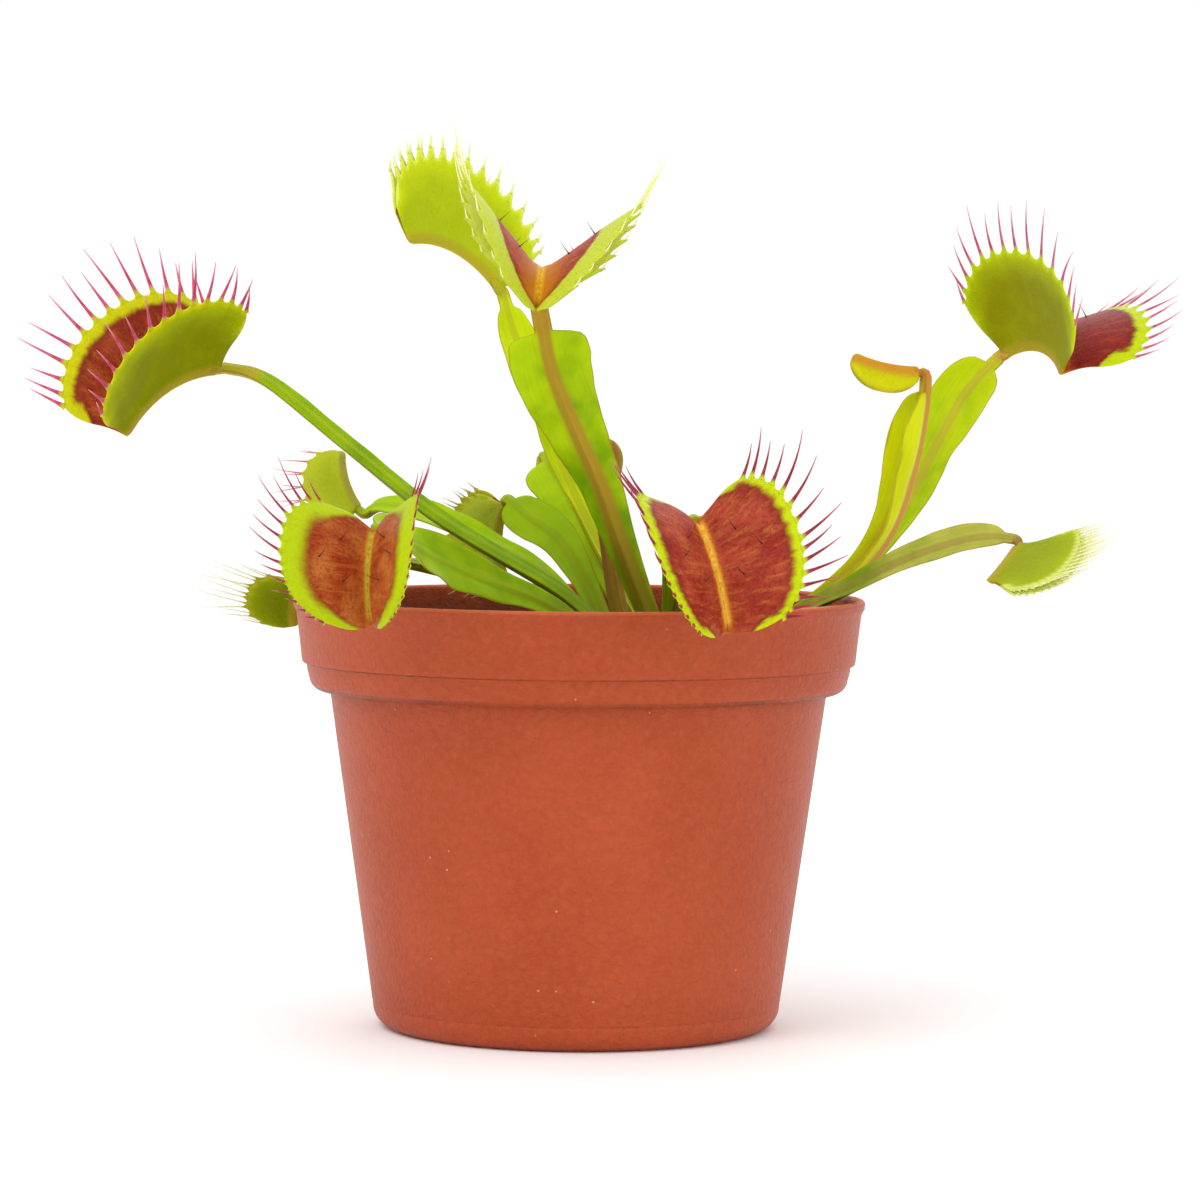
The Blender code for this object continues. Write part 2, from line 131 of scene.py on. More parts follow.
softbox("key_softbox", (-0.35, -0.55, 0.75), (0, 0, 0.06), 0.45, 2.4)
softbox("fill_softbox", (0.60, -0.52, 0.18), (0, 0, 0.05), 0.45, 0.8)
softbox("front_softbox", (-0.42, -0.70, 0.06), (0, 0, 0.05), 0.26, 0.25)
softbox("back_softbox", (0.15, 0.70, 0.55), (0, 0, 0.08), 0.50, 1.0)
print("softboxes:", len(bpy.data.lights))

# %% [markdown]
# ## Small helpers for materials
#
# Colours are written as the hex values an artist would pick, and one function turns them into the linear
# values the renderer works in. Another adds one node, sets it and links it, and a third lays one colour
# over another like a stain. A pattern's scale is worked out from its real size: the coordinates are metres,
# so a grain of 0.3 mm needs a scale of 1000 / 0.3.


# %% Colour and node helpers
SOFT = {"interpolation_type": "SMOOTHSTEP"}
COLOUR = {"data_type": "RGBA"}


def linear(hex_colour):
    """An sRGB hex colour, such as "c25a3a", as linear red, green, blue and alpha."""
    parts = [int(hex_colour[k : k + 2], 16) / 255 for k in (0, 2, 4)]
    return (*[c / 12.92 if c <= 0.04045 else ((c + 0.055) / 1.055) ** 2.4 for c in parts], 1.0)


def per(size_mm):
    """The scale of a pattern whose features are this big, for coordinates in metres."""
    return 1000.0 / size_mm


def plug(socket, value):
    """Links another node's output to a socket, or sets the socket's own value."""
    if isinstance(value, bpy.types.NodeSocket):
        socket.id_data.links.new(value, socket)
    else:
        socket.default_value = value


def put(tree, kind, *values, want=None, **named):
    """Adds a node and returns the output that is wanted, or the first one in use.

    A name in small letters sets a property of the node. A name with a capital sets that input, with _ for a
    space. The values without a name go to the node's inputs in order.
    """
    node = tree.nodes.new("ShaderNode" + kind)
    for name, value in named.items():
        if name.islower():
            setattr(node, name, value)
        else:
            plug(node.inputs[name.replace("_", " ")], value)
    for socket, value in zip([s for s in node.inputs if s.enabled], values):
        plug(socket, value)
    return node.outputs[want] if want else next(s for s in node.outputs if s.enabled)


def new_material(name):
    """A material, the function that adds nodes to it, and its one Principled shader."""
    made = bpy.data.materials.new(name)
    made.use_nodes = True
    return made, functools.partial(put, made.node_tree), made.node_tree.nodes["Principled BSDF"]


def dress(shader, **looks):
    """Sets or links the shader's inputs, with _ for a space in their names."""
    for name, value in looks.items():
        plug(shader.inputs[name.replace("_", " ")], value)


def stain(add, ground, colour, strength, value, low, high):
    """Lays a colour over the ground: none of it where value is low, and by strength where value is high."""
    cover = add("Math", add("MapRange", value, low, high, **SOFT), strength, operation="MULTIPLY")
    return add("Mix", cover, ground, linear(colour) if isinstance(colour, str) else colour, **COLOUR)


print("terracotta in linear light:", [round(c, 3) for c in linear("c25a3a")])

# %% [markdown]
# ## The pot
#
# The pot is a thin polypropylene injection moulding in a terracotta colour. It is a solid of revolution, so
# one section is drawn from the axis, out under the foot, up the wall, over the rolled lip and down the
# inside, and spun once round. The rim band has a small step half-way, which stiffens a thin wall and lets
# empty pots nest.

# %% Pot section
RIM_RADIUS = 42.5
POT_HEIGHT = 64.0
FOOT_RADIUS = 27.0
CORNER = 3.3
WALL_TOP_RADIUS = 36.9
BAND_FOOT = 50.2
BAND_STEP = 54.2
FLOOR = 2.0


def arc(centre, radius, start, end, steps):
    """Points (r, z) on an arc, angles in degrees from +r."""
    turn = [math.radians(start + (end - start) * k / steps) for k in range(steps + 1)]
    return [(centre[0] + radius * math.cos(a), centre[1] + radius * math.sin(a)) for a in turn]


foot = [(0.0, 0.0), (10.8, 0.0), (11.2, 0.2), (11.8, 1.0), (18.2, 1.0), (18.8, 0.2), (19.2, 0.0)]
corner = arc((FOOT_RADIUS, CORNER), CORNER, -90, -5, 12)
wall_foot = (FOOT_RADIUS + CORNER + 0.12, 4.0)
wall_top = (WALL_TOP_RADIUS, 49.9)
foot_ring = [(FOOT_RADIUS + CORNER + 0.06, 3.5), (FOOT_RADIUS + CORNER - 0.02, 3.75), wall_foot]
wall = [tuple(a + (b - a) * k / 8 for a, b in zip(wall_foot, wall_top)) for k in range(1, 9)]
band = [
    *arc((WALL_TOP_RADIUS + 0.6, BAND_FOOT - 0.3), 0.6, 180, 100, 3),
    *arc((RIM_RADIUS - 4.5, BAND_FOOT + 1.9), 2.0, -88, -8, 8),
    (RIM_RADIUS - 2.15, BAND_STEP - 0.9),
    (RIM_RADIUS - 2.1, BAND_STEP - 0.35),
    (RIM_RADIUS - 1.95, BAND_STEP - 0.1),
    (RIM_RADIUS - 1.45, BAND_STEP + 0.15),
    (RIM_RADIUS - 1.35, BAND_STEP + 0.5),
    (RIM_RADIUS - 1.0, POT_HEIGHT - 6.0),
    (RIM_RADIUS - 0.55, POT_HEIGHT - 2.3),
    (RIM_RADIUS - 0.35, POT_HEIGHT - 1.8),
    (RIM_RADIUS - 0.08, POT_HEIGHT - 1.4),
]
lip = arc((RIM_RADIUS - 0.7, POT_HEIGHT - 0.7), 0.7, -25, 180, 10)
inside = [
    (RIM_RADIUS - 1.45, POT_HEIGHT - 1.2),
    (RIM_RADIUS - 1.5, POT_HEIGHT - 2.0),
    (RIM_RADIUS - 1.9, POT_HEIGHT - 6.0),
    (RIM_RADIUS - 2.3, BAND_STEP + 0.6),
    (RIM_RADIUS - 3.1, BAND_STEP + 0.1),
    (RIM_RADIUS - 3.5, BAND_FOOT + 2.3),
    (RIM_RADIUS - 4.4, BAND_FOOT + 1.3),
    (WALL_TOP_RADIUS - 0.9, BAND_FOOT + 0.8),
    (FOOT_RADIUS + CORNER - 1.0, CORNER + 0.9),
    (FOOT_RADIUS + 1.4, FLOOR + 0.5),
    (FOOT_RADIUS, FLOOR),
    (0.0, FLOOR),
]
pot_section = foot + corner + foot_ring + wall + band + lip + inside
print("pot section:", len(pot_section), "points")


# %% Spin the pot and cut its drains
def make_object(name, mesh, scale=MM):
    """Turns a bmesh, drawn in millimetres unless scale is 1, into an object in the scene."""
    bmesh.ops.scale(mesh, vec=(scale, scale, scale), verts=mesh.verts)
    data = bpy.data.meshes.new(name)
    mesh.to_mesh(data)
    mesh.free()
    made = bpy.data.objects.new(name, data)
    bpy.context.scene.collection.objects.link(made)
    return made


def finish_piece(name, mesh, materials, replaces=(), angle=40):
    """Makes a smooth piece of the object that rides on the root. Edges sharper than the angle stay sharp."""
    made = make_object(name, mesh)
    for material in materials:
        made.data.materials.append(material)
    made.data.shade_smooth()
    made.data.set_sharp_from_angle(angle=math.radians(angle))
    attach(made, "root")
    if replaces:
        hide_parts(*replaces)
    return made


def spun(section, steps):
    """A closed solid of revolution about Z."""
    mesh = bmesh.new()
    verts = [mesh.verts.new((r, 0, z)) for r, z in section]
    edges = [mesh.edges.new(pair) for pair in zip(verts, verts[1:])]
    turned = {"cent": (0, 0, 0), "axis": (0, 0, 1), "angle": 2 * math.pi, "steps": steps, "use_merge": True}
    bmesh.ops.spin(mesh, geom=verts + edges, **turned)
    bmesh.ops.remove_doubles(mesh, verts=mesh.verts, dist=1e-4)
    bmesh.ops.recalc_face_normals(mesh, faces=mesh.faces)
    return mesh


def apply_cuts(piece, cutters):
    """Cuts each cutter out of the piece for good, then removes the cutters."""
    for tool in cutters:
        cut = piece.modifiers.new(tool.name, "BOOLEAN")
        cut.operation = "DIFFERENCE"
        cut.solver = "EXACT"
        cut.object = tool
    view = bpy.context.evaluated_depsgraph_get()
    result = bpy.data.meshes.new_from_object(piece.evaluated_get(view))
    piece.modifiers.clear()
    piece.data = result
    for tool in cutters:
        bpy.data.objects.remove(tool, do_unlink=True)


DRAINS = 6
DRAIN_RADIUS = 1.8
DRAIN_CIRCLE = 15
pot = finish_piece("pot_moulding", spun(pot_section, 160), [], ["pot"], 32)
drains = []
for k in range(DRAINS):
    mesh = bmesh.new()
    bmesh.ops.create_cone(
        mesh, cap_ends=True, segments=24, radius1=DRAIN_RADIUS, radius2=DRAIN_RADIUS, depth=3 * FLOOR
    )
    turn = math.radians(360 / DRAINS * k)
    place = (DRAIN_CIRCLE * math.cos(turn), DRAIN_CIRCLE * math.sin(turn), FLOOR / 2)
    bmesh.ops.translate(mesh, vec=place, verts=mesh.verts)
    drains.append(make_object(f"drain_{k}", mesh))
apply_cuts(pot, drains)
print("pot:", len(pot.data.polygons), "faces")

# %% [markdown]
# ## Pot plastic
#
# Polypropylene, injection moulded against a spark-eroded steel mould, has a fine orange-peel grain and a
# soft sheen. Used pots add pale dust specks and short scuffs. A painted highlight brightens the top of the
# lip, and the inner wall below the lip is darker and browner in patches. The grain is drawn at about 1 mm,
# coarser than the real one, because a finer one would not show.

# %% Pot material
plastic, add, shader = new_material("polypropylene_moulded_terracotta")
place = add("TexCoord", want="Object")
height = add("SeparateXYZ", place, want="Z")
clouds = add("TexNoise", place, Scale=per(22), Detail=4.0, Roughness=0.6)
grain = add("TexNoise", place, Scale=per(1.05), Detail=4.0, Roughness=0.6, Distortion=0.7)
fine = add("TexNoise", place, Scale=per(1.1), Detail=5.0, Roughness=0.65)
body = stain(add, linear("a84420"), "b04b27", 1.0, clouds, 0.35, 0.68)
body = stain(add, body, "ba5c38", 0.35, fine, 0.40, 0.75)
body = stain(add, body, "8c3416", 0.12, grain, 0.56, 0.40)
# one dust speck in five cells of 2.6 mm
specks = add("TexVoronoi", place, Scale=per(2.6), Randomness=1.0)
chance = add("SeparateColor", specks.node.outputs["Color"])
rare = add("Math", add("MapRange", chance, 0.80, 0.84, **SOFT), 0.6, operation="MULTIPLY")
body = stain(add, body, "e0a890", rare, specks, 0.085, 0.045)
upright = add("Mapping", place, Scale=(per(9), per(9), per(0.5)))
scuff = add("TexNoise", upright, Scale=1.0, Detail=3.0)
body = stain(add, body, "d88468", 0.12, scuff, 0.74, 0.80)
# the inside's normals point to the axis, so they run against the place
outward = add("VectorMath", add("NewGeometry", want="Normal"), place, operation="DOT_PRODUCT")
indoors = add("Math", outward, 0.0, operation="LESS_THAN")
below_lip = add("Math", indoors, add("MapRange", height, 0.0636, 0.0600, **SOFT), operation="MULTIPLY")
inner_wall_darkening = add("Math", below_lip, 0.75, operation="MULTIPLY")
# the inner wall below the lip is made darker and browner, in patches that follow the clouds
body = stain(add, body, "6b3a20", inner_wall_darkening, clouds, 0.30, 0.62)
# painted highlight: a brighter band along the top of the rounded lip
body = stain(add, body, "cc6038", 0.7, height, 0.0634, 0.0638)
gloss = add("MapRange", fine, To_Min=0.34, To_Max=0.48)
peel = add("Bump", Height=grain, Strength=0.80, Distance=0.00055)
waves = add("Bump", Height=clouds, Strength=0.10, Distance=0.0008, Normal=peel)
dress(shader, Base_Color=body, Roughness=gloss, IOR=1.49, Specular_IOR_Level=0.20, Normal=waves)
pot.data.materials.clear()
pot.data.materials.append(plastic)
print("pot material nodes:", len(plastic.node_tree.nodes))

# %% [markdown]
# ## Leaf measurements
#
# Every leaf is measured once, in millimetres and degrees, and both of its pieces are made from the same
# figures as the CAD solids. A stalk has its centre line (route), its half-width at the base, at its widest,
# where that is, and at the neck (blade), the way its upper face looks at either end (face), how far it is
# cupped (cup), and the gap it crosses to the trap (seat). A trap has its midrib's length, a lobe's width,
# how wide it gapes at the stalk and at the tip, the arc it bends through, the flare of its two ends and its
# bulge (trap), how the lobes narrow to the ends (drop), and the ways that the midrib and the mouth point
# (way). Its hairs have a number, length, width, two colours, and a lean along the midrib and to the mouth
# at either end (hair). The rest are colours and how far they reach.

# %% Leaf table
LEAVES = {
    "left_high": dict(
        route=[
            (5, -3, 58), (-3, -3.5, 65), (-20.5, -4.5, 75.5), (-34, -5.5, 86), (-46, -6, 95.5),
            (-52.2, -6, 97.5),
        ],
        blade=(1.5, 1.8, 0.6, 1.1), face=((0.4, -0.5, 0.7), (0.1, -0.6, 0.8)), cup=15, seat=0.9,
        trap=(19.9, 13.7, 29, 28, 58, (20, 21), -0.2), drop=(0.30, 0.34),
        way=((-0.67, -0.54, -0.51), (-0.32, -0.40, 0.86)),
        hair=(15, 8.6, 0.62, "b83860", "d888a0", (0.0, 0.0), (0.15, 0.15)), cone=0.7,
        stalk=("609000", "8cb000", "b4a428"), rib_mm=(0.45, 0.35), neck=0.88,
        inside=("903018", "b05028", "c8c808"), outside=("808600", "b0be06"),
    ),
    "back_high": dict(
        route=[
            (10.2, 3.5, 58), (4.4, 9, 68), (-2.2, 15, 81), (-6.7, 17, 93), (-10.4, 17.7, 103),
            (-12.2, 17.9, 109),
        ],
        blade=(1.6, 3.8, 0.70, 1.2), face=((0.6, -0.5, 0.3), (0.3, -0.9, 0.2)), cup=30, seat=0.7,
        trap=(19.5, 14.6, 6, 3, 75, (9, -6), 0.3), drop=(0.38, 0.41),
        way=((-0.74, -0.54, 0.40), (0.04, 0.55, 0.83)),
        hair=(15, 3.0, 0.50, "d8dc80", "ecf0cc", (0.0, 0.0), (0.1, 0.1)), cone=2.3,
        stalk=("9cb800", "c4d408", "a8a020"),
        inside=("a8802c", "b8a020", "d4dc58"), outside=("a4b400", "c4d404"),
    ),
    "front_high": dict(
        route=[
            (11.7, -3, 58), (9.4, -5, 63.5), (5.8, -8, 73), (2.9, -9, 81), (-0.7, -10, 89), (-4, -11, 97),
            (-5.5, -12.5, 103.6), (-6.2, -12.8, 107.5),
        ],
        blade=(1.7, 6.3, 0.83, 1.35), shoulder=(0.91, 5), face=((0.1, 1, 0.2), (0.0, 1, -0.1)), cup=12,
        seat=1.2,
        trap=(19, 15.8, 58, 34, 110, (3, 14), 0.0), drop=(0.59, 0.72),
        way=((0.0, -1.0, -0.15), (0.13, 0.05, 1.0)),
        hair=(13, 9.0, 0.42, "dce08c", "f0ecc8", (0.1, -0.1), (2.2, 1.6)), least=0.13, peak=9.0, cone=2.0,
        stalk=("649600", "b4cc04", "b08828"), rib_mm=(1.9, 1.0), neck=0.86,
        inside=("a03020", "b0482c", "c0cc38"), outside=("a4b418", "c4cc38"), glow=(7.0, 0.90, "c4801c"),
        gold=("c88c18", "ecc830"), band=4.6,
    ),
    "right_high": dict(
        route=[
            (30, 3, 58), (34, 6, 61), (41, 9, 67), (48, 11, 75.3), (53.7, 13, 86), (58.3, 14, 94.5),
            (63.3, 13.4, 100.0),
        ],
        blade=(1.8, 5.0, 0.8, 1.1), face=((-0.6, -0.6, 0.5), (-0.3, -0.9, 0.3)), cup=14, seat=0.9,
        trap=(17.2, 15.4, 57, 32, 80, (13, 23), -0.25), drop=(0.47, 0.38),
        way=((0.47, -0.87, -0.17), (0.40, 0.03, 0.92)),
        hair=(15, 8.0, 0.52, "b04868", "dca0a8", (0.0, 0.0), (0.45, 0.45)), cone=0.9,
        stalk=("8cb000", "bccc08", "c49440"), rib_mm=(1.3, 0.7),
        inside=("86221e", "982c26", "bcd008"), outside=("8c8c04", "b2c008"), dash=0.22,
    ),
    "right_young": dict(
        route=[
            (29, -1, 58), (32, -2, 61), (37.5, -2.5, 65), (43, -3, 70), (46.8, -4, 76.5), (49.7, -5, 87),
            (50.9, -5, 96.3),
        ],
        blade=(1.6, 4.6, 0.75, 0.9), face=((-0.7, -0.4, 0.5), (-0.9, -0.4, 0.0)), cup=52, seat=1.8,
        trap=(10.5, 3.6, 12, 9, 25, (-12, -12), 1.0), drop=(0.46, 0.46),
        way=((-0.96, -0.2, 0.22), (-0.2, 0.0, -1.0)),
        hair=(14, 0.0, 0.5, "c89030", "d8b060", (0.0, 0.0), (0.0, 0.0)),
        stalk=("b4b800", "c8d008", "b87a34"), rib_mm=(2.0, 1.3),
        inside=("a05a20", "b08030", "c0b020"), outside=("b8bc00", "ccc808"), keel=("c06a28", 1.5),
    ),
    "right_low": dict(
        route=[
            (29.5, -4.5, 58), (33.5, -8, 62.8), (39.6, -12, 66.2), (46.6, -16, 70), (53.5, -19.5, 72.8),
            (58.5, -22, 74), (62.4, -23, 73.8),
        ],
        blade=(1.4, 2.6, 0.72, 0.9), face=((0.1, -0.7, 0.7), (-0.1, -0.9, 0.5)), cup=25, seat=1.7,
        trap=(11.3, 9.8, 4, 3, 8, (38, 38), 0.9), drop=(0.09, 0.54),
        way=((-0.44, -0.78, -0.43), (0.88, -0.48, -0.03)),
        hair=(20, 5.4, 0.36, "d8dc90", "ecead0", (-0.5, -3.2), (0.3, 0.2)), least=0.25, peak=2.2, skew=0.55,
        cone=0.8,
        stalk=("6c8c0c", "b4b04c", "8c6c34"),
        inside=("b09438", "c0a83c", "dce07c"), outside=("8c9800", "a0b004"),
    ),
    "front_left": dict(
        route=[
            (2.5, -7, 58), (-4.5, -14, 63.3), (-13, -21, 67), (-21, -29, 70.8), (-26, -38, 74.6),
            (-27.8, -43.9, 75.6),
        ],
        blade=(1.7, 4.4, 0.6, 1.0), face=((0.2, -0.8, 0.5), (0.0, -0.8, 0.6)), cup=10, seat=1.3,
        trap=(13.9, 14.5, 46, 34, 65, (19, -14), -0.25), drop=(0.51, 0.55),
        way=((-0.01, -0.29, -0.96), (-0.25, -0.93, 0.28)),
        hair=(16, 6.4, 0.42, "8c2438", "b05468", (-1.8, 0.2), (0.3, 0.3)), least=0.2, peak=2.3, skew=0.55,
        cone=0.6, curled=-1,
        stalk=("749c00", "a0bc04", "8ca010"),
        inside=("a03c18", "bc6c30", "b0c40c"), outside=("92a400", "b0c00a"), gold=("b89a28", "d8c850"),
        band=3.0, soft=1.2,
    ),
    "front_right": dict(
        route=[(13.5, -7, 58), (14, -13, 64), (14.5, -22, 70.5), (15.5, -33, 75.8), (16, -43.2, 77.2)],
        blade=(1.7, 3.2, 0.6, 1.0), face=((0.1, 0.5, 0.9), (0.0, 0.2, 1.0)), cup=10, seat=1.3,
        trap=(16.9, 13.8, 52, 43, 44, (51, 1), -0.25), drop=(0.41, 0.44),
        way=((0.26, -0.33, -0.91), (0.23, -0.89, 0.39)),
        hair=(15, 8.0, 0.56, "84202e", "b04c60", (-2.4, 0.5), (0.3, 0.2)), skew=0.65, cone=0.6, curled=1,
        stalk=("7ea400", "a0bc04", "8c9014"),
        inside=("962e20", "b04a34", "c0d006"), outside=("92a400", "b0c00a"), band=1.2, soft=0.6,
    ),
    "left_low": dict(
        route=[(0.6, 4.2, 59.0), (-8, 12.3, 63.8), (-20, 19, 66.8), (-31, 23.5, 68.2), (-42, 27, 64.9)],
        blade=(1.3, 2.3, 0.6, 0.9), face=((0.0, 0.0, 1.0), (-0.2, 0.0, 1.0)), cup=10, seat=1.4,
        trap=(6.5, 7.6, 13, 11, 40, (-6, -6), 0.8), drop=(0.46, 0.6),
        way=((-0.2, 0.1, -0.97), (-0.97, 0.0, -0.2)),
        hair=(7, 9.0, 0.24, "ccd09c", "e4e4c8", (-0.3, 0.2), (0.3, 0.3)), skew=0.9, cone=0.6,
        stalk=("7a9000", "90a404", "787010"),
        inside=("7a5a14", "8a7414", "a0a014"), outside=("708000", "8a9a00"),
    ),
    "left_back": dict(
        route=[
            (3.5, 1, 58), (-6, 7, 67.3), (-15, 10, 72), (-23, 12.5, 75.6), (-30, 15, 76.8),
            (-32.8, 16.5, 75.6),
        ],
        blade=(1.6, 2.9, 0.6, 0.9), face=((0.3, -0.5, 0.8), (0.1, -0.6, 0.8)), cup=14, seat=1.3,
        trap=(9.5, 6.2, 12, 10, 40, (10, 10), 0.8), drop=(0.6, 0.7),
        way=((-0.28, 0.1, 0.95), (-0.95, 0.1, -0.28)),
        hair=(8, 5.5, 0.26, "b86878", "dcb0b4", (0.3, 0.3), (0.2, 0.2)), cone=0.5,
        stalk=("82a800", "a4c408", "8ca010"),
        inside=("9a3a28", "a85a28", "b4b418"), outside=("a8b41c", "bcc830"), keel=("a09040", 0.7),
    ),
    "back_left": dict(
        route=[(4.4, 5, 58), (1.2, 10, 65), (-3, 17, 71.5), (-8, 22, 75), (-11.2, 26, 77.6)],
        blade=(1.5, 3.7, 0.72, 0.9), face=((-0.3, -0.7, 0.6), (-0.1, -0.8, 0.6)), cup=10, seat=1.5,
        trap=(13.5, 7.5, 14, 12, 45, (20, 10), 0.8), drop=(0.46, 0.6),
        way=((0.05, 0.25, -0.97), (-0.97, 0.1, -0.05)),
        hair=(13, 2.6, 0.36, "c4b890", "dccfc0", (-0.5, 0.0), (0.2, 0.2)), cone=0.8,
        stalk=("7ca000", "94b004", "849010"),
        inside=("8c5a20", "9a7a1c", "a8ac18"), outside=("bccc38", "d0dc48"),
    ),
    "back_centre": dict(
        route=[(8.5, 7.5, 58), (4.5, 15, 66), (0, 23, 75), (-4, 29, 81.5), (-5.6, 32.5, 84)],
        blade=(1.5, 4.8, 0.84, 0.8), face=((0.0, -0.8, 0.5), (0.0, -0.9, 0.3)), cup=12, seat=1.9,
        trap=(7.5, 3.4, 12, 9, 25, (-12, -12), 1.0), drop=(0.46, 0.46),
        way=((-0.1, 0.95, -0.30), (0.1, -0.30, -0.95)),
        hair=(10, 0.0, 0.5, "a8a030", "c0b850", (0.0, 0.0), (0.0, 0.0)),
        stalk=("84a800", "a8c408", "8c9810"),
        inside=("8c6a20", "9a8020", "a8a818"), outside=("8ca400", "a0b404"),
    ),
    "centre_young": dict(
        route=[(7.0, -0.5, 58), (5.4, 0.2, 64), (4.2, 1.2, 71), (3.2, 2.2, 77), (3.1, 3, 80)],
        blade=(1.7, 2.2, 0.4, 1.0), face=((0.9, -0.2, 0.2), (0.9, -0.3, 0.1)), cup=35, seat=0.5,
        trap=(7, 2.6, 12, 9, 20, (-12, -12), 1.0), drop=(0.46, 0.46),
        way=((0.10, 0.05, 1.0), (0.95, -0.2, -0.1)),
        hair=(10, 0.0, 0.5, "8c6a30", "a08850", (0.0, 0.0), (0.0, 0.0)),
        stalk=("86601c", "9c7424", "7a5220"),
        inside=("7c5a1c", "8a6a24", "988a20"), outside=("a0583c", "b4704a"),
    ),
}
print("leaves:", len(LEAVES))

# %% [markdown]
# ## A thin closed sheet
#
# A stalk and a lobe are both thin closed sheets. A grid is extruded once into a slab, and three numbers are
# kept on every corner: how far along it is, how far across, and which face it is on. The slab is then bent
# into its place, which adds its distance from the margin and from the midrib in millimetres. The material
# reads these numbers to know where the margin, the midrib and the inner face are.


# %% Slab and curve helpers
LAYERS = ("along", "across", "inner", "edge_mm", "hair")


def face_out(mesh):
    """Turns the faces outwards, so that the volume they close in comes out positive."""
    bmesh.ops.recalc_face_normals(mesh, faces=mesh.faces)
    if mesh.calc_volume(signed=True) < 0:
        bmesh.ops.reverse_faces(mesh, faces=mesh.faces)


def slab(along, across):
    """A closed slab. Its vertices carry along (0..1), across (-1..1) and inner (0 or 1)."""
    mesh = bmesh.new()
    bmesh.ops.create_grid(mesh, x_segments=along, y_segments=across, size=0.5)
    made = bmesh.ops.extrude_face_region(mesh, geom=mesh.faces[:], use_keep_orig=True)["geom"]
    upper = [g for g in made if isinstance(g, bmesh.types.BMVert)]
    bmesh.ops.translate(mesh, vec=(0, 0, 1), verts=upper)
    bmesh.ops.recalc_face_normals(mesh, faces=mesh.faces)
    layers = [mesh.verts.layers.float.new(name) for name in LAYERS]
    for vert in mesh.verts:
        vert[layers[0]] = vert.co.x + 0.5
        vert[layers[1]] = 2 * vert.co.y
        vert[layers[2]] = vert.co.z
    return mesh, layers


def route_point(points, share):
    """A point on the smooth curve through the points; share runs evenly over the spans."""
    knots = [Vector(p) for p in points]
    ends = [2 * knots[0] - knots[1], *knots, 2 * knots[-1] - knots[-2]]
    place = min(max(share, 0.0), 1.0) * (len(knots) - 1)
    k = min(int(place), len(knots) - 2)
    t = place - k
    a, b, c, d = ends[k : k + 4]
    return b + 0.5 * t * ((c - a) + t * (2 * a - 5 * b + 4 * c - d) + t * t * (3 * b - a - 3 * c + d))


def even_route(points, count):
    """count + 1 points at equal steps along the curve, and the direction at each."""
    fine = [route_point(points, k / 400) for k in range(401)]
    run = [0.0]
    for p, q in zip(fine, fine[1:]):
        run.append(run[-1] + (q - p).length)
    places, k = [], 0
    for n in range(count + 1):
        want = run[-1] * n / count
        while k < 399 and run[k + 1] < want:
            k += 1
        places.append(fine[k].lerp(fine[k + 1], min(1.0, (want - run[k]) / (run[k + 1] - run[k]))))
    ways = [(places[min(n + 1, count)] - places[max(n - 1, 0)]).normalized() for n in range(count + 1)]
    return places, ways, run[-1]


print("slab of 4 by 2 cells:", len(slab(4, 2)[0].faces), "faces")


# %% Where a trap's surface runs
def trap_frame(leaf):
    """A trap's own axes: along its midrib, out of its mouth, and across from lobe to lobe."""
    along, mouth = (Vector(v) for v in leaf["way"])
    along.normalize()
    mouth = (mouth - mouth.dot(along) * along).normalized()
    return along, mouth, along.cross(mouth)


def trap_root(leaf):
    """The stalk's end of the midrib, seated a little past the neck."""
    neck, before = Vector(leaf["route"][-1]), Vector(leaf["route"][-2])
    out = (neck - before).normalized()
    return neck + (out + trap_frame(leaf)[0]).normalized() * leaf["seat"]


def trap_point(leaf, root, u, v, toothed=True):
    """A point on a trap's middle surface: u along the midrib, |v| from the midrib to the margin."""
    length, width, gape_stalk, gape_end, arch, flares, bulge = leaf["trap"]
    along, mouth, across = trap_frame(leaf)
    x, reach = 2 * u - 1, abs(v)
    end = 0 if x < 0 else 1
    # the corners of the lobes are rounded off
    corner = max(0.0, abs(x) * 2 - 1) ** 2 * max(0.0, reach * 2 - 1) ** 2
    x *= 1 - 0.12 * corner
    bend = math.radians(arch)
    radius = length / bend
    turn = bend * x / 2
    spine = root + along * radius * (math.sin(turn) + math.sin(bend / 2))
    spine += mouth * radius * (math.cos(turn) - math.cos(bend / 2))
    turn += math.radians(flares[end]) * x * reach
    fan = mouth * math.cos(turn) + along * math.sin(turn)
    gape = math.radians(gape_stalk + (gape_end - gape_stalk) * u) * (1 + bulge * (1 - reach))
    lobe = width * (1 - leaf["drop"][end] * abs(x) ** 2.4) * (1 - 0.08 * corner)
    teeth, longest = leaf["hair"][:2]
    if toothed and longest and reach > 0.86:
        # each hair stands on a small cone of the margin
        lobe += leaf.get("cone", 0.8) * math.sin(math.pi * u * teeth) ** 4 * ((reach - 0.86) / 0.14) ** 1.5
    side = math.copysign(1, v) if v else 0.0
    return spine + (across * side * math.sin(gape) + fan * math.cos(gape)) * lobe * reach


def surface_normal(leaf, root, u, v):
    """The outward normal of a trap's middle surface, away from the mouth."""
    step = 0.01
    inside_u = max(step, min(1 - step, u))
    inside_v = max(-0.85, min(0.85, v))
    du = trap_point(leaf, root, inside_u + step, inside_v) - trap_point(leaf, root, inside_u - step, inside_v)
    dv = trap_point(leaf, root, u, inside_v + step) - trap_point(leaf, root, u, inside_v - step)
    return du.cross(dv).normalized()


print("front right trap starts at", [round(c, 1) for c in trap_root(LEAVES["front_right"])])

# %% [markdown]
# ## Leaf tissue
#
# A living leaf is waxy and a little translucent: light enters, scatters for about a millimetre and comes
# out greener. One Principled shader with some subsurface light does this. The wings and lobes have fine
# veins, so a noise is stretched along them; a second, very fine noise stands for the cells and gives the
# skin its tiny glitter.


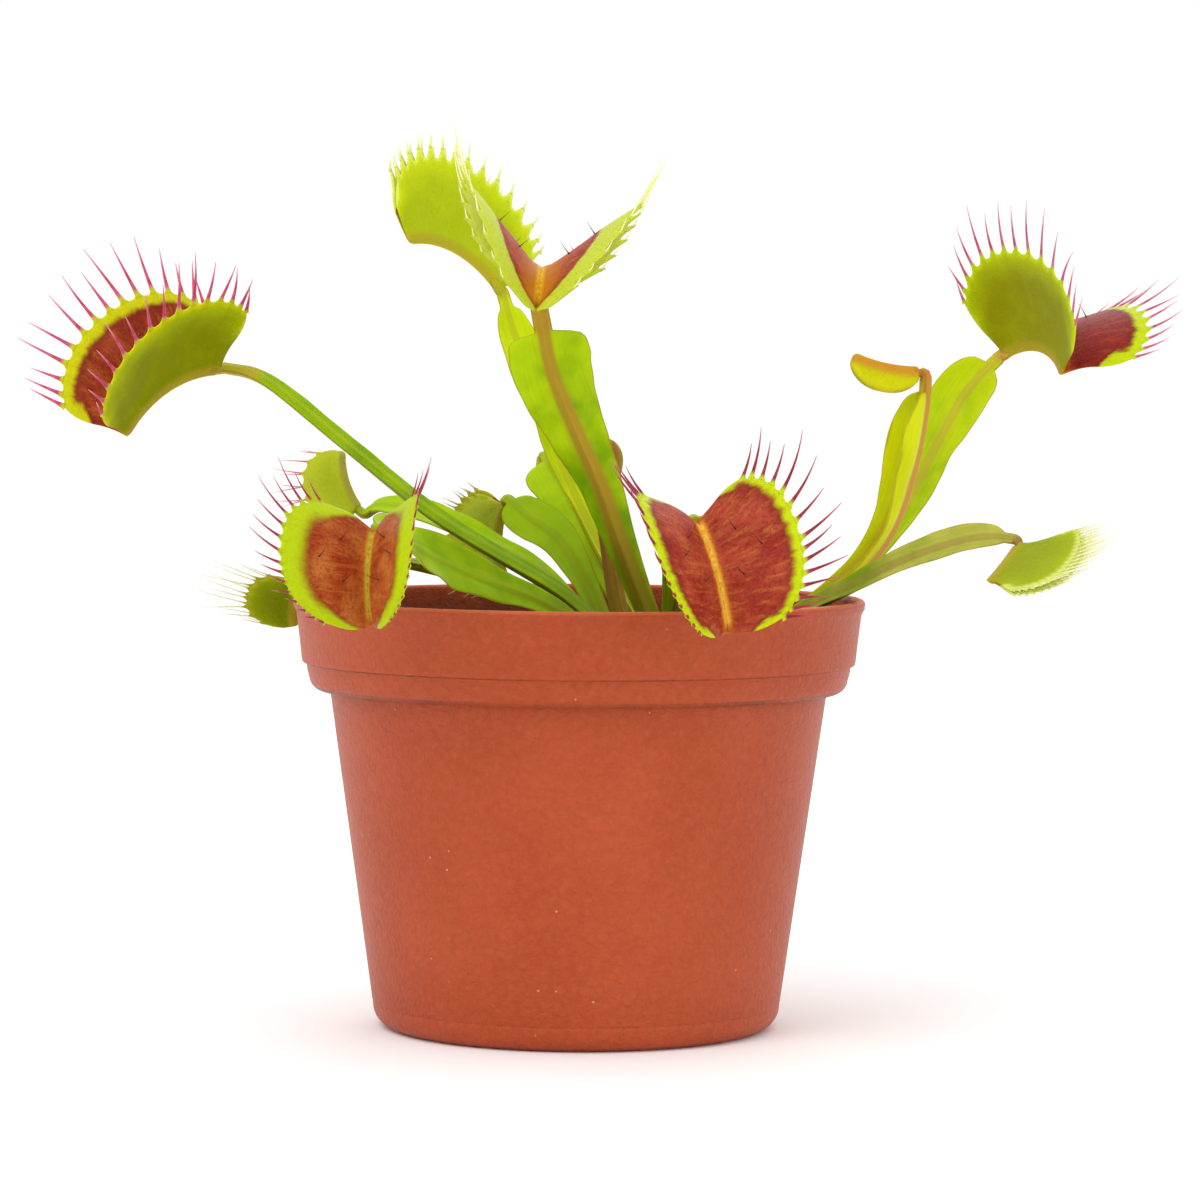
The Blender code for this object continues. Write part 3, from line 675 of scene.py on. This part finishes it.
# %% Stalk material
def stalk_material(name, leaf):
    """Waxy green leaf skin with a paler rib, fine lengthwise veins and thin brown edges."""
    deep, bright, rib = leaf["stalk"]
    rib_mm, neck = leaf.get("rib_mm", (1.25, 0.55)), leaf.get("neck", 0.94)
    made, add, shader = new_material("leaf_skin_stalk_" + name)
    place = add("TexCoord", want="Object")
    carried = ("along", "off_mm", "edge_mm", "inner")
    numbers = [add("Attribute", attribute_name=layer, want="Fac") for layer in carried]
    along, off, edge, inner = numbers
    strip = add("Mapping", add("CombineXYZ", along, off), Scale=(5.0, 3.0, 1.0))
    veins = add("TexNoise", strip, Scale=1.0, Detail=3.0)
    clouds = add("TexNoise", place, Scale=per(5), Detail=4.0)
    cells = add("TexNoise", place, Scale=per(0.28), Detail=2.0)
    # painted shade: the green runs from the deep colour at the stalk's foot to the bright one at the top,
    # with a random mottle on it
    tone_and_foot_shade = add("Math", clouds, 0.9, add("Math", along, 0.45, operation="MULTIPLY"), operation="MULTIPLY_ADD")
    body = stain(add, linear(deep), bright, 1.0, tone_and_foot_shade, 0.35, 0.95)
    body = stain(add, body, "7c9a10", 0.16, veins, 0.50, 0.66)
    # the rib: darker at the foot, thinner towards the trap, and stronger on the underside
    under = stain(add, linear("7e6e10"), rib, 1.0, along, 0.05, 0.55)
    width = add("MapRange", along, To_Min=rib_mm[0], To_Max=rib_mm[1])
    strength = add("MapRange", inner, To_Min=0.90, To_Max=0.45)
    body = stain(add, body, under, strength, add("Math", off, width, operation="DIVIDE"), 1.15, 0.55)
    body = stain(add, body, rib, 0.85, along, neck - 0.01, neck + 0.02)
    body = stain(add, body, "8a7a28", 0.35, along, 0.22, 0.0)
    body = stain(add, body, "8c5a1c", 0.55, edge, 0.30, 0.08)
    gloss = add("MapRange", clouds, To_Min=0.36, To_Max=0.52)
    skin = add("Bump", Height=cells, Strength=0.22, Distance=0.00008)
    lines = add("Bump", Height=veins, Strength=0.35, Distance=0.00025, Normal=skin)
    dress(shader, Base_Color=body, Roughness=gloss, Normal=lines, IOR=1.43, Specular_IOR_Level=0.09)
    dress(shader, Subsurface_Weight=0.30, Subsurface_Radius=(0.9, 1.0, 0.05), Subsurface_Scale=0.0010)
    return made


print("one rib colour in linear light:", [round(c, 3) for c in linear(LEAVES["front_high"]["stalk"][2])])


# %% Lobe material
def lobe_material(name, leaf):
    """The trap's skin: red and grained inside with a golden midrib and a yellow margin, green outside."""
    deep, streak, margin = leaf["inside"]
    made, add, shader = new_material("leaf_skin_trap_" + name)
    place = add("TexCoord", want="Object")
    carried = ("along", "across", "off_mm", "edge_mm", "inner")
    numbers = [add("Attribute", attribute_name=layer, want="Fac") for layer in carried]
    along, across, off, edge, inner = numbers
    fan = add("Mapping", add("CombineXYZ", along, across), Scale=(26.0, 3.0, 1.0))
    rays = add("TexNoise", fan, Scale=1.0, Detail=5.0, Roughness=0.65)
    clouds = add("TexNoise", place, Scale=per(4.5), Detail=3.0)
    grain = add("TexNoise", place, Scale=per(0.55), Detail=4.0, Roughness=0.8)
    glands = add("TexVoronoi", place, Scale=per(0.40))
    # inside: a red ground, grained, with short orange dashes that run out from the midrib
    red = stain(add, linear(deep), streak, 1.0, clouds, 0.30, 0.70)
    broken = add("MapRange", grain, 0.40, 0.55, **SOFT)
    dashes = add("Math", broken, leaf.get("dash", 0.60), operation="MULTIPLY")
    red = stain(add, red, "d4843a", dashes, rays, 0.50, 0.62)
    red = stain(add, red, "64140e", 0.45, grain, 0.46, 0.60)
    glow_mm, glow_strength, glow_colour = leaf.get("glow", (2.8, 0.60, "cc6c1c"))
    red = stain(add, red, glow_colour, glow_strength, off, glow_mm, 0.18 * glow_mm)
    # the golden stripe on the midrib, frayed by the grain and faded at its ends
    first, second = leaf.get("gold", ("d8a030", "f0cc50"))
    gold = stain(add, linear(first), second, 1.0, grain, 0.40, 0.62)
    frayed = add("Math", grain, 1.8, add("Math", off, 0.9, operation="SUBTRACT"), operation="MULTIPLY_ADD")
    start, finish = add("MapRange", along, 0.02, 0.10, **SOFT), add("MapRange", along, 0.99, 0.88, **SOFT)
    red = stain(add, red, gold, add("Math", start, finish, operation="MULTIPLY"), frayed, 1.8, 0.75)
    # the pale margin, drawn out along the rays, with painted shade as a dark band just inside it
    band, soft = leaf.get("band", 1.5), leaf.get("soft", 0.5)
    drawn = add("Math", rays, 1.6, add("Math", edge, 0.8, operation="SUBTRACT"), operation="MULTIPLY_ADD")
    # painted shade: a dark red band just inside the pale margin
    red = stain(add, red, "701a10", 0.52, drawn, band + 2.2, band + 0.2)
    lively = stain(add, linear(margin), "8ca000", 0.26, grain, 0.42, 0.62)
    inside = stain(add, red, lively, 1.0, drawn, band + soft, band - soft)
    # outside: olive on the belly, brighter at the margin, golden along the keel
    dark, light = leaf["outside"]
    outer = add("Math", add("MapRange", edge, 0.0, 7.0, 1.0, 0.0), 2.2, operation="POWER")
    lit = add("Math", clouds, 0.7, add("Math", outer, 0.35, operation="SUBTRACT"), operation="MULTIPLY_ADD")
    green = add("Mix", lit, linear(dark), linear(light), **COLOUR)
    green = stain(add, green, "4c5200", 0.22, grain, 0.50, 0.75)
    green = stain(add, green, "d0d820", 0.12, rays, 0.55, 0.75)
    ridge, ridge_mm = leaf.get("keel", ("b0982a", 1.6))
    green = stain(add, green, ridge, 0.75, off, ridge_mm, 0.2)
    green = stain(add, green, margin, 0.8, edge, 1.0, 0.1)
    gloss = add("MapRange", grain, To_Min=0.36, To_Max=0.56)
    skin = add("Bump", Height=glands, Strength=0.35, Distance=0.00012)
    lines = add("Bump", Height=grain, Strength=0.30, Distance=0.00025, Normal=skin)
    dress(shader, Base_Color=add("Mix", inner, green, inside, **COLOUR), Roughness=gloss, Normal=lines)
    dress(shader, IOR=1.43, Specular_IOR_Level=0.09, Subsurface_Weight=0.25)
    dress(shader, Subsurface_Radius=(1.0, 0.7, 0.05), Subsurface_Scale=0.0008)
    return made


print("lobe margins:", sorted({leaf["inside"][2] for leaf in LEAVES.values()}))


# %% Hair material
def hair_material(name, leaf):
    """The margin's long hairs: green at the root, coloured along the shaft, pale at the tip."""
    made, add, shader = new_material("leaf_skin_hair_" + name)
    margin, shaft, tip = leaf["inside"][2], leaf["hair"][3], leaf["hair"][4]
    hair = add("Attribute", attribute_name="hair", want="Fac")
    patches = add("TexNoise", add("TexCoord", want="Object"), Scale=per(1.5), Detail=2.0)
    mottled = stain(add, linear(shaft), tip, 0.30, patches, 0.35, 0.65)
    body = stain(add, linear(margin), mottled, 1.0, hair, 0.04, 0.18)
    body = stain(add, body, tip, 1.0, hair, 0.45, 1.0)
    dress(shader, Base_Color=body, Roughness=0.42, Specular_IOR_Level=0.15)
    dress(shader, Subsurface_Weight=0.3, Subsurface_Radius=(1.0, 0.5, 0.3), Subsurface_Scale=0.0006)
    return made


trigger_skin, add, shader = new_material("leaf_skin_trigger_hair")
cells = add("TexNoise", add("TexCoord", want="Object"), Scale=per(0.4))
dress(shader, Base_Color=add("Mix", cells, linear("2c0a0c"), linear("521416"), **COLOUR), Roughness=0.4)
print("trigger hair material nodes:", len(trigger_skin.node_tree.nodes))

# %% [markdown]
# ## Stalks
#
# The flytrap's stalk, the petiole, is a flat blade with a thick rib underneath. It is narrow where it
# leaves the crown, widest near the top, and draws in to a round neck. Its wings are never quite flat, so a
# slow wave runs along each edge. The slab is bent so: station by station along the route, with the rib
# thicker than the wings.


# %% Stalk maker
def half_width(t, leaf):
    """Half the blade's width: a slow swell to the widest place, then a shoulder down to the neck."""
    base, widest, peak, neck = leaf["blade"]
    top, squareness = leaf.get("shoulder", (0.96, 3))
    if t <= peak:
        return base + (widest - base) * (t / peak) ** 1.8
    shoulder = (t - peak) / (top - peak)
    if shoulder >= 1:
        return neck
    return neck + (widest - neck) * math.sqrt(1 - shoulder**squareness)


WING_THICK = 0.50
RIB_BELOW = 1.15
RIB_ABOVE = 0.35


def make_stalk(name, leaf, seed):
    """One stalk, from its crown to a little way inside the trap's keel."""
    stations, cells = 96, 28
    root = trap_root(leaf)
    route = [*leaf["route"], root, trap_point(leaf, root, 0.10, 0) + trap_frame(leaf)[1] * 0.2]
    centres, ways, length = even_route(route, stations)
    own = length - (route[-1] - root).length - (root - Vector(route[-3])).length
    face_base, face_neck = (Vector(v).normalized() for v in leaf["face"])
    cup = math.radians(leaf["cup"])
    mesh, layers = slab(stations, cells)
    off_layer = mesh.verts.layers.float.new("off_mm")
    for vert in mesh.verts:
        k = round(vert[layers[0]] * stations)
        run = k / stations * length
        t = min(1.0, run / own)
        side = vert[layers[1]]
        way = ways[k]
        across = way.cross(face_base.lerp(face_neck, t)).normalized()
        up = across.cross(way)
        past = max(0.0, run - own) / (length - own)
        reach = half_width(t, leaf) * (1 - 0.45 * past)
        wing = max(0.0, reach - 1.1)
        wave = noise.noise(Vector((run / 7.0, side * 0.6 + seed * 9.0, seed))) * 0.35
        angle = cup * (0.4 + 0.6 * abs(side)) + wave * min(1.0, wing / 3) * abs(side)
        ripple = 1 + 0.05 * noise.noise(Vector((run / 4.0, seed * 5 + math.copysign(3, side), 0)))
        out = abs(side) * reach * ripple
        rib = 0.95 - 0.30 * t
        bump = math.exp(-((out / (rib * 0.85)) ** 2))
        thin = WING_THICK * math.sqrt(max(0.02, 1 - abs(side) ** 6))
        if k in (0, stations):
            thin *= 0.6
        below = thin / 2 + bump * (RIB_BELOW - 0.45 * t)
        above = thin / 2 + bump * RIB_ABOVE
        offset = across * math.copysign(1, side) * out * math.cos(angle) + up * out * math.sin(angle)
        lift = above if vert[layers[2]] > 0.5 else -below
        vert[off_layer] = out
        vert[layers[3]] = reach * ripple - out
        vert.co = centres[k] + offset + up * lift
    face_out(mesh)
    made = finish_piece("stalk_" + name, mesh, [stalk_material(name, leaf)], ["petiole_" + name], 60)
    return made


for number, (name, leaf) in enumerate(LEAVES.items()):
    made = make_stalk(name, leaf, number + 1)
print("last stalk:", len(made.data.polygons), "faces")

# %% [markdown]
# ## Traps
#
# A trap is two stiff lobes hinged on the midrib, and each lobe ends in a row of long hairs that close like
# the bars of a cage. Three short trigger hairs stand on each inner face. An open lobe is domed inwards like
# a cushion; a closed one is hollow like a shell, which is how the plant snaps shut. The hairs are cones,
# cut into rings and bent.


# %% Hair maker
def add_hair(mesh, root, start, finish, length, width, slot, rings=6, flat=0.85, side=None):
    """Adds a tapered hair that leaves its root along start, ends along finish and is wide along side."""
    one = bmesh.new()
    bmesh.ops.create_cone(one, cap_ends=True, segments=6, radius1=1, radius2=0.12, depth=1)
    sides = [e for e in one.edges if abs(e.verts[0].co.z - e.verts[1].co.z) > 0.5]
    bmesh.ops.subdivide_edges(one, edges=sides, cuts=rings)
    layers = [one.verts.layers.float.new(name) for name in LAYERS]
    across = side or start.cross(finish)
    across = across.normalized() if across.length > 0.05 else start.orthogonal().normalized()
    for vert in one.verts:
        t = vert.co.z + 0.5
        way = start.lerp(finish, t).normalized()
        third = way.cross(across).normalized()
        level = third.cross(way)
        cone = 1 - 0.88 * t
        thick = width * (0.46 * (1 - t) + 0.07 + 0.50 * max(0.0, 1 - t * 4) ** 2) / cone
        squeeze = flat * min(1.0, 0.3 + t * 2.8)
        middle = root + start.lerp(finish, t * 0.5).normalized() * length * t
        vert.co = middle + (level * vert.co.x + third * vert.co.y * squeeze) * thick
        vert[layers[4]] = t
        vert[layers[2]] = 1.0
    for face in one.faces:
        face.material_index = slot
    data = bpy.data.meshes.new("hair")
    one.to_mesh(data)
    one.free()
    mesh.from_mesh(data)
    bpy.data.meshes.remove(data)


sample = bmesh.new()
add_hair(sample, Vector(), Vector((0, 0, 1)), Vector((0, 1, 1)), length=5.0, width=0.5, slot=0)
print("one hair:", len(sample.faces), "faces")
sample.free()


# %% Trap maker
def lobe_wave(leaf, seed, u, v):
    """How far a lobe's skin strays from its smooth shape. A closed trap's lobes must stay apart."""
    open_share = min(1.0, leaf["trap"][2] / 40)
    return noise.noise(Vector((u * 2.6, v * 1.7, seed * 3.3))) * 0.55 * open_share * min(1.0, abs(v) * 1.5)


HAIR_ROOT = 0.7
TRIGGERS = ((0.30, 0.42), (0.60, 0.36), (0.46, 0.62))
TRIGGER_LENGTH = 2.5
TRIGGER_WIDTH = 0.17


def make_trap(name, leaf, seed):
    """Both lobes of one trap, with the hairs on their margins and the trigger hairs on their inner faces."""
    rng = random.Random(seed)
    teeth, longest, hair_width, _, _, lean_along, lean_mouth = leaf["hair"]
    width = leaf["trap"][1]
    root = trap_root(leaf)
    along_way, mouth, across_way = trap_frame(leaf)
    small, open_wide = width < 5, leaf["trap"][2] > 20
    stations, cells = (48, 16) if small else (max(72, teeth * 6), 30)
    mesh, layers = slab(stations, cells)
    off_layer = mesh.verts.layers.float.new("off_mm")
    for vert in mesh.verts:
        u, v = vert[layers[0]], vert[layers[1]]
        x = abs(2 * u - 1)
        lobe = width * (1 - leaf["drop"][0 if u < 0.5 else 1] * x**2.4)
        rest = min(1 - abs(v), (1 - x) * 1.2)
        thin = 0.25 + 0.75 * math.sqrt(min(1.0, max(0.0, rest) / 0.12))
        keel = math.exp(-((abs(v) * width / 1.1) ** 2)) * (1 - 0.4 * u)
        inner = vert[layers[2]] > 0.5
        depth = 0.32 * thin + (0.0 if inner else 0.55) * keel * thin
        normal = surface_normal(leaf, root, u, v)
        spot = trap_point(leaf, root, u, v) + normal * lobe_wave(leaf, seed, u, v)
        if inner and open_wide:
            # flesh fills the fold along the midrib, so the groove is round and not sharp
            spot += mouth * 0.85 * math.exp(-((abs(v) * width / 1.5) ** 2)) * min(1.0, (1 - x) * 5 + 0.35)
        if inner and not (open_wide and abs(v) < 0.01):
            # the inner face keeps to its own side of the plane that the lobes close on
            room = abs((spot - root).dot(across_way)) / max(abs(normal.dot(across_way)), 0.05)
            depth = min(depth, 0.8 * room)
        vert[off_layer] = abs(v) * lobe
        # the pale margin wraps round the lobe's corners, so their ends count as edge too
        to_end = (1 - x) * 0.5 * leaf["trap"][0] + max(0.0, 0.70 - abs(v)) * lobe * 1.5
        vert[layers[3]] = min((1 - abs(v)) * lobe, to_end)
        vert.co = spot + normal * (-depth if inner else depth)
    face_out(mesh)
    for k in range(teeth if longest else 0):
        u = (k + 0.5) / teeth
        for side in (-1, 1):
            edge = trap_point(leaf, root, u, side)
            out = (edge - trap_point(leaf, root, u, side * 0.8, False)).normalized()
            edge = edge + surface_normal(leaf, root, u, side) * lobe_wave(leaf, seed, u, side)
            skew = math.sin(math.pi * (0.06 + 0.88 * u) ** leaf.get("skew", 1.0))
            least = leaf.get("least", 0.30)
            length = longest * (least + (1 - least) * skew ** leaf.get("peak", 0.8)) * rng.uniform(0.66, 1.14)
            fall = (1 - u) ** 1.4
            forwards, inwards = (last + (first - last) * fall for first, last in (lean_along, lean_mouth))
            pull = along_way * (forwards + rng.uniform(-0.30, 0.30))
            pull += mouth * (inwards + rng.uniform(-0.18, 0.28))
            if side == leaf.get("curled", 0) and u > 0.28:
                # a lobe that has begun to close curls its hairs over the mouth
                length *= 0.5
                pull += mouth * 1.3
            end = (out + pull + across_way * side * rng.uniform(-0.3, 0.1)).normalized()
            start = (out + pull * 0.4).normalized()
            ahead, behind = (trap_point(leaf, root, at, side * 0.8) for at in (min(1, u + 0.02), u - 0.02))
            sunk = edge - out * HAIR_ROOT
            add_hair(mesh, sunk, start, end, length + HAIR_ROOT, hair_width, 1, side=ahead - behind)
    for u, v in TRIGGERS if open_wide else ():
        for side in (-1, 1):
            spot = trap_point(leaf, root, u, v * side)
            normal = surface_normal(leaf, root, u, v * side)
            inward = (-normal - along_way * rng.uniform(0.1, 0.5)).normalized()
            start = spot + normal * (lobe_wave(leaf, seed, u, v * side) - 0.2)
            end = (inward - along_way * 0.6).normalized()
            add_hair(mesh, start, inward, end, TRIGGER_LENGTH, TRIGGER_WIDTH, 2, 3, 1.0)
    skins = [lobe_material(name, leaf), hair_material(name, leaf), trigger_skin]
    made = finish_piece("lobes_" + name, mesh, skins, ["trap_" + name], 60)
    return made


for number, (name, leaf) in enumerate(LEAVES.items()):
    made = make_trap(name, leaf, number + 1)
    print("trap", name, len(made.data.polygons), "faces")

# %% [markdown]
# ## Soil
#
# The plant grows in acid peat, which is dark, fibrous and never smooth. The root ball fills the pot. Its
# top is a fine grid of rings pushed up and down by noise, and crumbs, fibres and a few white perlite grains
# lie on it.

# %% Soil body
SOIL_TOP = 57.0
side = [(r - 0.35, z) for r, z in inside if z < SOIL_TOP - 1.5]
side[-2:] = [(side[-2][0], FLOOR + 0.3)]
top_radius = side[0][0] + 0.2
rings = [(top_radius * k / 60, SOIL_TOP) for k in range(60, -1, -1)]
soil_section = [(0.0, FLOOR + 0.3), *side[::-1], (top_radius, SOIL_TOP - 1.0), *rings[1:]]
mesh = spun(soil_section, 150)


def ground(x, y):
    """How high the soil stands at a place, in millimetres."""
    lumps = noise.fractal(Vector((x / 6.0, y / 6.0, 3.1)), 0.9, 2.1, 5)
    return SOIL_TOP + 0.25 + 0.75 * lumps


for vert in mesh.verts:
    if vert.co.z > SOIL_TOP - 0.5:
        vert.co.z = ground(vert.co.x, vert.co.y)
print("soil section:", len(soil_section), "points")

# %% Soil materials
peat, add, shader = new_material("peat_crumbled")
place = add("TexCoord", want="Object")
lumps = add("TexNoise", place, Scale=per(2.2), Detail=6.0, Roughness=0.7)
grit = add("TexVoronoi", place, Scale=per(0.7))
body = stain(add, linear("2c1d13"), "5a3f28", 1.0, lumps, 0.35, 0.70)
body = stain(add, body, "7a5a3c", 0.4, grit, 0.2, 0.6)
rough = add("Bump", Height=grit, Strength=0.8, Distance=0.0004)
rougher = add("Bump", Height=lumps, Strength=0.9, Distance=0.0012, Normal=rough)
dress(shader, Base_Color=body, Roughness=0.92, Specular_IOR_Level=0.25, Normal=rougher)
soil = finish_piece("root_ball", mesh, [peat], ["soil"], 70)
print("root ball:", len(soil.data.polygons), "faces")


# %% Loose bits on the soil
def plain_material(name, first, second, size, rough):
    """A matt natural material with a soft mottle and a matching bump."""
    made, add, shader = new_material(name)
    mottle = add("TexNoise", add("TexCoord", want="Object"), Scale=per(size), Detail=4.0)
    body = stain(add, linear(first), second, 1.0, mottle, 0.35, 0.65)
    bump = add("Bump", Height=mottle, Strength=0.6, Distance=0.0002)
    dress(shader, Base_Color=body, Roughness=rough, Normal=bump)
    return made


SOIL_EDGE = 38.5
ANY_TURN = (0, 6.28)


def scatter(rng, outer=SOIL_EDGE):
    """A random place on the soil, even by area."""
    turn, radius = rng.uniform(0, 2 * math.pi), math.sqrt(rng.uniform(0.0, outer**2))
    return radius * math.cos(turn), radius * math.sin(turn)


def lump(mesh, place, size, rng, divisions=1):
    """A small irregular grain."""
    made = bmesh.ops.create_icosphere(mesh, subdivisions=divisions, radius=size)["verts"]
    squash = Vector((rng.uniform(0.6, 1.3), rng.uniform(0.6, 1.3), rng.uniform(0.5, 0.9)))
    turn = Matrix.Rotation(rng.uniform(*ANY_TURN), 3, "Z")
    for vert in made:
        rough = 1 + 0.35 * noise.noise(vert.co * (1.4 / size) + Vector(place))
        vert.co = turn @ Vector(a * b for a, b in zip(vert.co * rough, squash)) + Vector(place)


CRUMBS, RIM_CRUMBS, PERLITE_GRAINS = 650, 26, 34
rng = random.Random(11)
crumbs, grains = bmesh.new(), bmesh.new()
for _ in range(CRUMBS):
    x, y = scatter(rng)
    lump(crumbs, (x, y, ground(x, y) + 0.15), rng.uniform(0.25, 0.95), rng)
for _ in range(RIM_CRUMBS):
    angle = rng.uniform(*ANY_TURN)
    radius = RIM_RADIUS - rng.uniform(0.5, 1.6)
    height = POT_HEIGHT + 0.02 if radius > RIM_RADIUS - 1.2 else POT_HEIGHT - rng.uniform(0.6, 3.0)
    lump(crumbs, (radius * math.cos(angle), radius * math.sin(angle), height), rng.uniform(0.10, 0.28), rng)
for _ in range(PERLITE_GRAINS):
    x, y = scatter(rng)
    lump(grains, (x, y, ground(x, y) + 0.3), rng.uniform(0.5, 1.2), rng, 2)
crumb_skin = plain_material("peat_crumbs", "2a1a10", "6a4a30", 0.6, 0.95)
perlite_skin = plain_material("perlite_expanded", "d8d4c8", "f0ede4", 0.4, 0.9)
crumb_piece = finish_piece("soil_crumbs", crumbs, [crumb_skin], (), 60)
perlite_piece = finish_piece("perlite_grains", grains, [perlite_skin], (), 60)
print("crumbs:", len(crumb_piece.data.polygons), "faces; perlite:", len(perlite_piece.data.polygons), "faces")

# %% Fibres and moss
FIBRES = 150
# where each patch of moss is, how wide, and how many shoots it has
MOSS = (((-17, 29), 5.0, 60), ((-30, -14), 4.0, 45), ((20, -27), 5.0, 55), ((27, 22), 4.0, 45))
fibre_mesh, moss_mesh = bmesh.new(), bmesh.new()
for _ in range(FIBRES):
    x, y = scatter(rng, SOIL_EDGE - 1.5)
    heading = rng.uniform(*ANY_TURN)
    start = Vector((math.cos(heading), math.sin(heading), rng.uniform(-0.05, 0.25)))
    end = (start + Vector((rng.uniform(-0.9, 0.9), rng.uniform(-0.9, 0.9), -0.35))).normalized()
    base = Vector((x, y, ground(x, y) + 0.25))
    add_hair(fibre_mesh, base, start, end, rng.uniform(2, 7), rng.uniform(0.12, 0.28), 0, 5, 1.0)
for centre, spread, count in MOSS:
    for _ in range(count):
        x, y = centre[0] + rng.gauss(0, spread / 2), centre[1] + rng.gauss(0, spread / 2)
        if math.hypot(x, y) > SOIL_EDGE - 0.5:
            continue
        start = Vector((rng.uniform(-0.6, 0.6), rng.uniform(-0.6, 0.6), 1)).normalized()
        end = (start + Vector((rng.uniform(-1, 1), rng.uniform(-1, 1), 0))).normalized()
        base = Vector((x, y, ground(x, y) - 0.1))
        add_hair(moss_mesh, base, start, end, rng.uniform(1.0, 2.4), rng.uniform(0.35, 0.6), 0, 3, 0.5)
fibre_skin = plain_material("peat_fibre_dry", "6a4a2c", "a07c50", 0.8, 0.8)
moss_skin = plain_material("moss_living", "3c4a12", "76862a", 0.8, 0.7)
fibre_piece = finish_piece("peat_fibres", fibre_mesh, [fibre_skin])
moss_piece = finish_piece("moss_tufts", moss_mesh, [moss_skin])
print("fibres:", len(fibre_piece.data.polygons), "faces; moss:", len(moss_piece.data.polygons), "faces")

# %% [markdown]
# ## Crowns
#
# The leaves rise from short buried stems, the crowns, whose pale overlapping leaf bases just break the
# surface.


# %% Crown pieces
# the centre of each crown and its three half-axes
CROWNS = {
    "crown_main": ((8.0, -1.0, 56.0), (10.5, 10.5, 3.2)),
    "crown_side": ((29.0, 0.0, 56.0), (5.5, 7.0, 3.2)),
}
crown_skin = plain_material("leaf_base_pale", "6c7c2c", "a4a858", 1.6, 0.5)
for name, (centre, axes) in CROWNS.items():
    mesh = bmesh.new()
    made = bmesh.ops.create_uvsphere(mesh, u_segments=96, v_segments=48, radius=1.0)["verts"]
    for vert in made:
        turn = math.atan2(vert.co.y, vert.co.x)
        scales = 0.04 * math.sin(turn * 9 + vert.co.z * 4) + 0.05 * noise.noise(vert.co * 1.8)
        vert.co = Vector(a * b for a, b in zip(vert.co * (1 + scales), axes)) + Vector(centre)
    crown = finish_piece("leaf_bases_" + name, mesh, [crown_skin], [name], 60)
print("crowns:", len(CROWNS))

# %% [markdown]
#
# The plant stands on a plain pale floor. The last cell writes the CAD box and the finished box side by side,
# which shows that the hairs and edges stand only a few millimetres past the solids that they replace.

# %% Floor
paper, add, shader = new_material("paper_matt_white")
dress(shader, Base_Color=linear("ffffff"), Roughness=1.0, Specular_IOR_Level=0.0)
mesh = bmesh.new()
bmesh.ops.create_grid(mesh, x_segments=1, y_segments=1, size=4.0)
floor = make_object("floor", mesh, scale=1.0)
floor.data.materials.append(paper)
floor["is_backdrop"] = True
print("floor:", floor.dimensions.x, "m wide")

# %% Size and finish
final_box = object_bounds()
for axis in range(3):
    grown = [round((final_box[k][axis] - cad_box[k][axis]) / MM, 1) for k in (0, 1)]
    print("axis", "XYZ"[axis], "visual minus CAD in mm:", grown)
